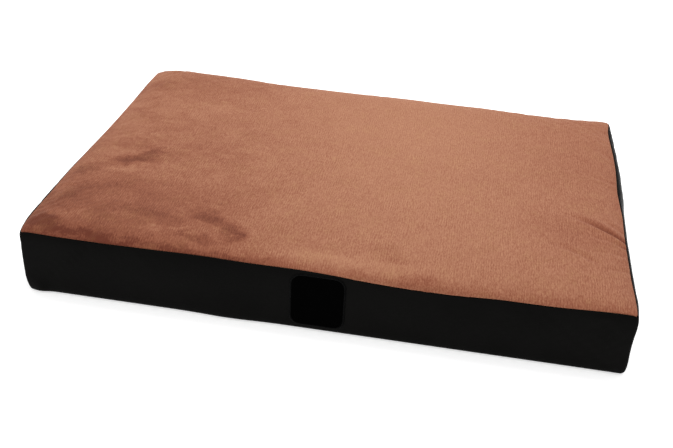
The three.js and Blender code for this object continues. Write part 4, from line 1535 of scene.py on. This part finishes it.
def grip(name):
    """Knitted non-slip base cloth."""
    m = Mat(name)
    m.b.inputs["Specular IOR Level"].default_value = 0.15
    m.b.inputs["Sheen Weight"].default_value = 0.15
    x, y, z = m.xyz()
    k = 2 * math.pi / 0.0016
    a = m.math("SINE", m.math("MULTIPLY", x, k))
    b2 = m.math("SINE", m.math("MULTIPLY_ADD", y, k * 0.5, m.math("MULTIPLY", m.math("ABSOLUTE", a), 1.2)))
    w = m.math("MULTIPLY_ADD", m.math("MULTIPLY", a, b2), 0.5, 0.5)
    fuzz = m.noise(1300, 3.0, 0.6)
    cloud = m.noise(14, 4.0, 0.65)
    f = m.math("MULTIPLY_ADD", w, 0.4, m.math("MULTIPLY", fuzz, 0.35))
    f = m.math("MULTIPLY_ADD", cloud, 0.3, f)
    return m.done(m.ramp(f, [(0.25, lin(24, 24, 25)), (0.8, lin(50, 49, 48))]), m.span(cloud, 0.3, 0.7, 0.8, 0.92), m.bump(w, 0.0004, 0.7))


def rubber(name):
    m = Mat(name)
    m.b.inputs["Specular IOR Level"].default_value = 0.35
    n = m.noise(500, 3.0, 0.6)
    dust = m.span(m.noise(40, 4.0, 0.7), 0.5, 0.75)
    return m.done(m.mix(dust, lin(30, 30, 31), lin(66, 63, 59)), m.span(n, 0.3, 0.7, 0.45, 0.62), m.bump(n, 0.0001, 0.5))


def foam(name, c0, c1, cell):
    m = Mat(name)
    m.b.inputs["Specular IOR Level"].default_value = 0.2
    v = m.voronoi(1 / cell, "F1")
    v2 = m.voronoi(2.7 / cell, "F1")
    pores = m.math("ADD", m.span(v, 0.1, 0.6, 0.0, 0.7), m.span(v2, 0.1, 0.6, 0.0, 0.3))
    cloud = m.noise(9, 3.0, 0.6)
    color = m.mix(m.math("MULTIPLY_ADD", cloud, 0.4, m.math("MULTIPLY", pores, 0.6)), c0, c1)
    return m.done(color, m.span(cloud, 0.3, 0.7, 0.85, 0.95), m.bump(pores, cell * 0.4, 0.8))


MATS = {
    "velvet": velvet(),
    "coated": coated("coated_fabric_walls"),
    "tab": coated("coated_fabric_tab", (24, 23, 22), 0.2, 1.4),
    "label": woven("label_cloth", lin(1, 1, 1), lin(4, 4, 4), 0.0008, 0.0, 0.0),
    "border": thread("label_thread", lin(2, 2, 2), lin(6, 6, 6), 0.03),
    "tape": woven("zip_tape_cloth", lin(19, 19, 20), lin(42, 42, 44), 0.0008, 0.25, 0.12, diag=True),
    "thread": thread("sewing_thread", lin(22, 22, 23), lin(52, 52, 54)),
    "care": satin("care_label_satin", lin(206, 205, 201), lin(232, 231, 228)),
    "care_thread": thread("care_thread", lin(26, 26, 27), lin(58, 58, 60)),
    "teeth": nylon("zip_nylon"),
    "metal": metal("zip_metal"),
    "grip": grip("underside_cloth"),
    "rubber": rubber("stud_rubber"),
    "support": foam("support_foam", lin(206, 203, 190), lin(232, 229, 219), 0.0016),
    "memory": foam("memory_foam", lin(214, 200, 150), lin(236, 226, 186), 0.0009),
}


def paint(o, key):
    o.data.materials.clear()
    o.data.materials.append(MATS[key])
    return o


# ------------------------------------------------------------------------------------------------
# Which piece stands for what
# ------------------------------------------------------------------------------------------------
def settle_piece(o, key, nodes=(), body="bed"):
    paint(o, key)
    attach(o, body)
    if nodes:
        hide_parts(*nodes)
    return o


settle_piece(top, "velvet", ["top_panel"])
settle_piece(front, "coated", ["front_wall"])
settle_piece(wall_right, "coated", ["right_wall"])
settle_piece(wall_left, "coated", ["left_wall"])
settle_piece(upper, "coated", ["back_wall_upper"])
settle_piece(lower, "coated", ["back_wall_lower"])
settle_piece(underside, "grip", ["bottom_panel"])
settle_piece(grips, "rubber")
settle_piece(label, "label", ["front_label"])
settle_piece(label_border, "border")
settle_piece(care, "care", ["care_label"])
settle_piece(care_stitch, "care_thread")
settle_piece(foam_base, "support", ["foam_base"])
settle_piece(foam_topper, "memory", ["foam_topper"])
settle_piece(tape_upper, "tape", ["zip_tape_upper"])
settle_piece(tape_lower, "tape", ["zip_tape_lower"])
settle_piece(coil_upper, "teeth", ["zip_coil_upper"])
settle_piece(coil_lower, "teeth", ["zip_coil_lower"])
settle_piece(stitch_upper, "thread")
settle_piece(stitch_lower, "thread")
for tab, st, node in end_tabs:
    settle_piece(tab, "tab", [node])
    settle_piece(st, "thread")

for name in ("zip_slider", "zip_pull"):
    o = frame["nodes"][name]
    paint(o, "metal")
    w = o.modifiers.new("weld", "WELD")
    w.merge_threshold = 0.00002
    b = o.modifiers.new("bevel", "BEVEL")
    b.width = 0.00022
    b.segments = 3
    b.limit_method = "ANGLE"
    b.angle_limit = math.radians(35)
    b.harden_normals = False

# ------------------------------------------------------------------------------------------------
# Floor, light, camera
# ------------------------------------------------------------------------------------------------
scene = bpy.context.scene
floor = fast_mesh("floor", np.array([(-9, -7, 0), (9, -7, 0), (9, 11, 0), (-9, 11, 0)], float), np.array([[0, 1, 2, 3]]), smooth=False)
fm = Mat("floor_paper")
fm.b.inputs["Specular IOR Level"].default_value = 0.0
fm.b.inputs["Emission Color"].default_value = (1, 1, 1, 1)
fm.b.inputs["Emission Strength"].default_value = 0.36
paper = fm.noise(3.0, 2.0, 0.5)
fm.done(fm.mix(paper, (0.93, 0.93, 0.93, 1), (0.95, 0.95, 0.95, 1)), 0.95)
floor.data.materials.append(fm.m)

world = bpy.data.worlds.new("studio")
scene.world = world
world.use_nodes = True
world.node_tree.nodes["Background"].inputs["Color"].default_value = (1.0, 1.0, 1.0, 1)
world.node_tree.nodes["Background"].inputs["Strength"].default_value = 0.85


def softbox(name, place, aim, size, power, tint=(1, 1, 1)):
    d = bpy.data.lights.new(name, "AREA")
    d.shape, d.size, d.size_y = "RECTANGLE", size[0], size[1]
    d.energy = power
    d.color = tint
    o = bpy.data.objects.new(name, d)
    scene.collection.objects.link(o)
    o.location = place
    o.rotation_mode = "QUATERNION"
    o.rotation_quaternion = (Vector(aim) - Vector(place)).to_track_quat("-Z", "Y")
    return o


softbox("key", (0.12, 0.45, 1.9), (0.05, 0.12, 0.1), (1.5, 1.0), 27)
softbox("fill", (-0.6, -3.4, 2.4), (0, 0, 0.05), (3.4, 2.0), 40)

cam = bpy.data.cameras.new("camera")
cam_o = bpy.data.objects.new("camera", cam)
scene.collection.objects.link(cam_o)
scene.camera = cam_o
cam.sensor_width = 36
cam.lens = 954.3629 / 673 * 36
right = Vector((0.98423036, 0.17051082, 0.04708150))
down = Vector((0.12872579, -0.50784393, -0.85177709))
ahead = Vector((-0.12132716, 0.84440547, -0.52178455))
place = Vector((0.20461494, -1.57086216, 0.96600111))
cam_o.matrix_world = Matrix(((right.x, -down.x, -ahead.x, place.x), (right.y, -down.y, -ahead.y, place.y), (right.z, -down.z, -ahead.z, place.z), (0, 0, 0, 1)))
cam.clip_start, cam.clip_end = 0.02, 60

scene.view_settings.view_transform = "Standard"
scene.view_settings.look = "None"
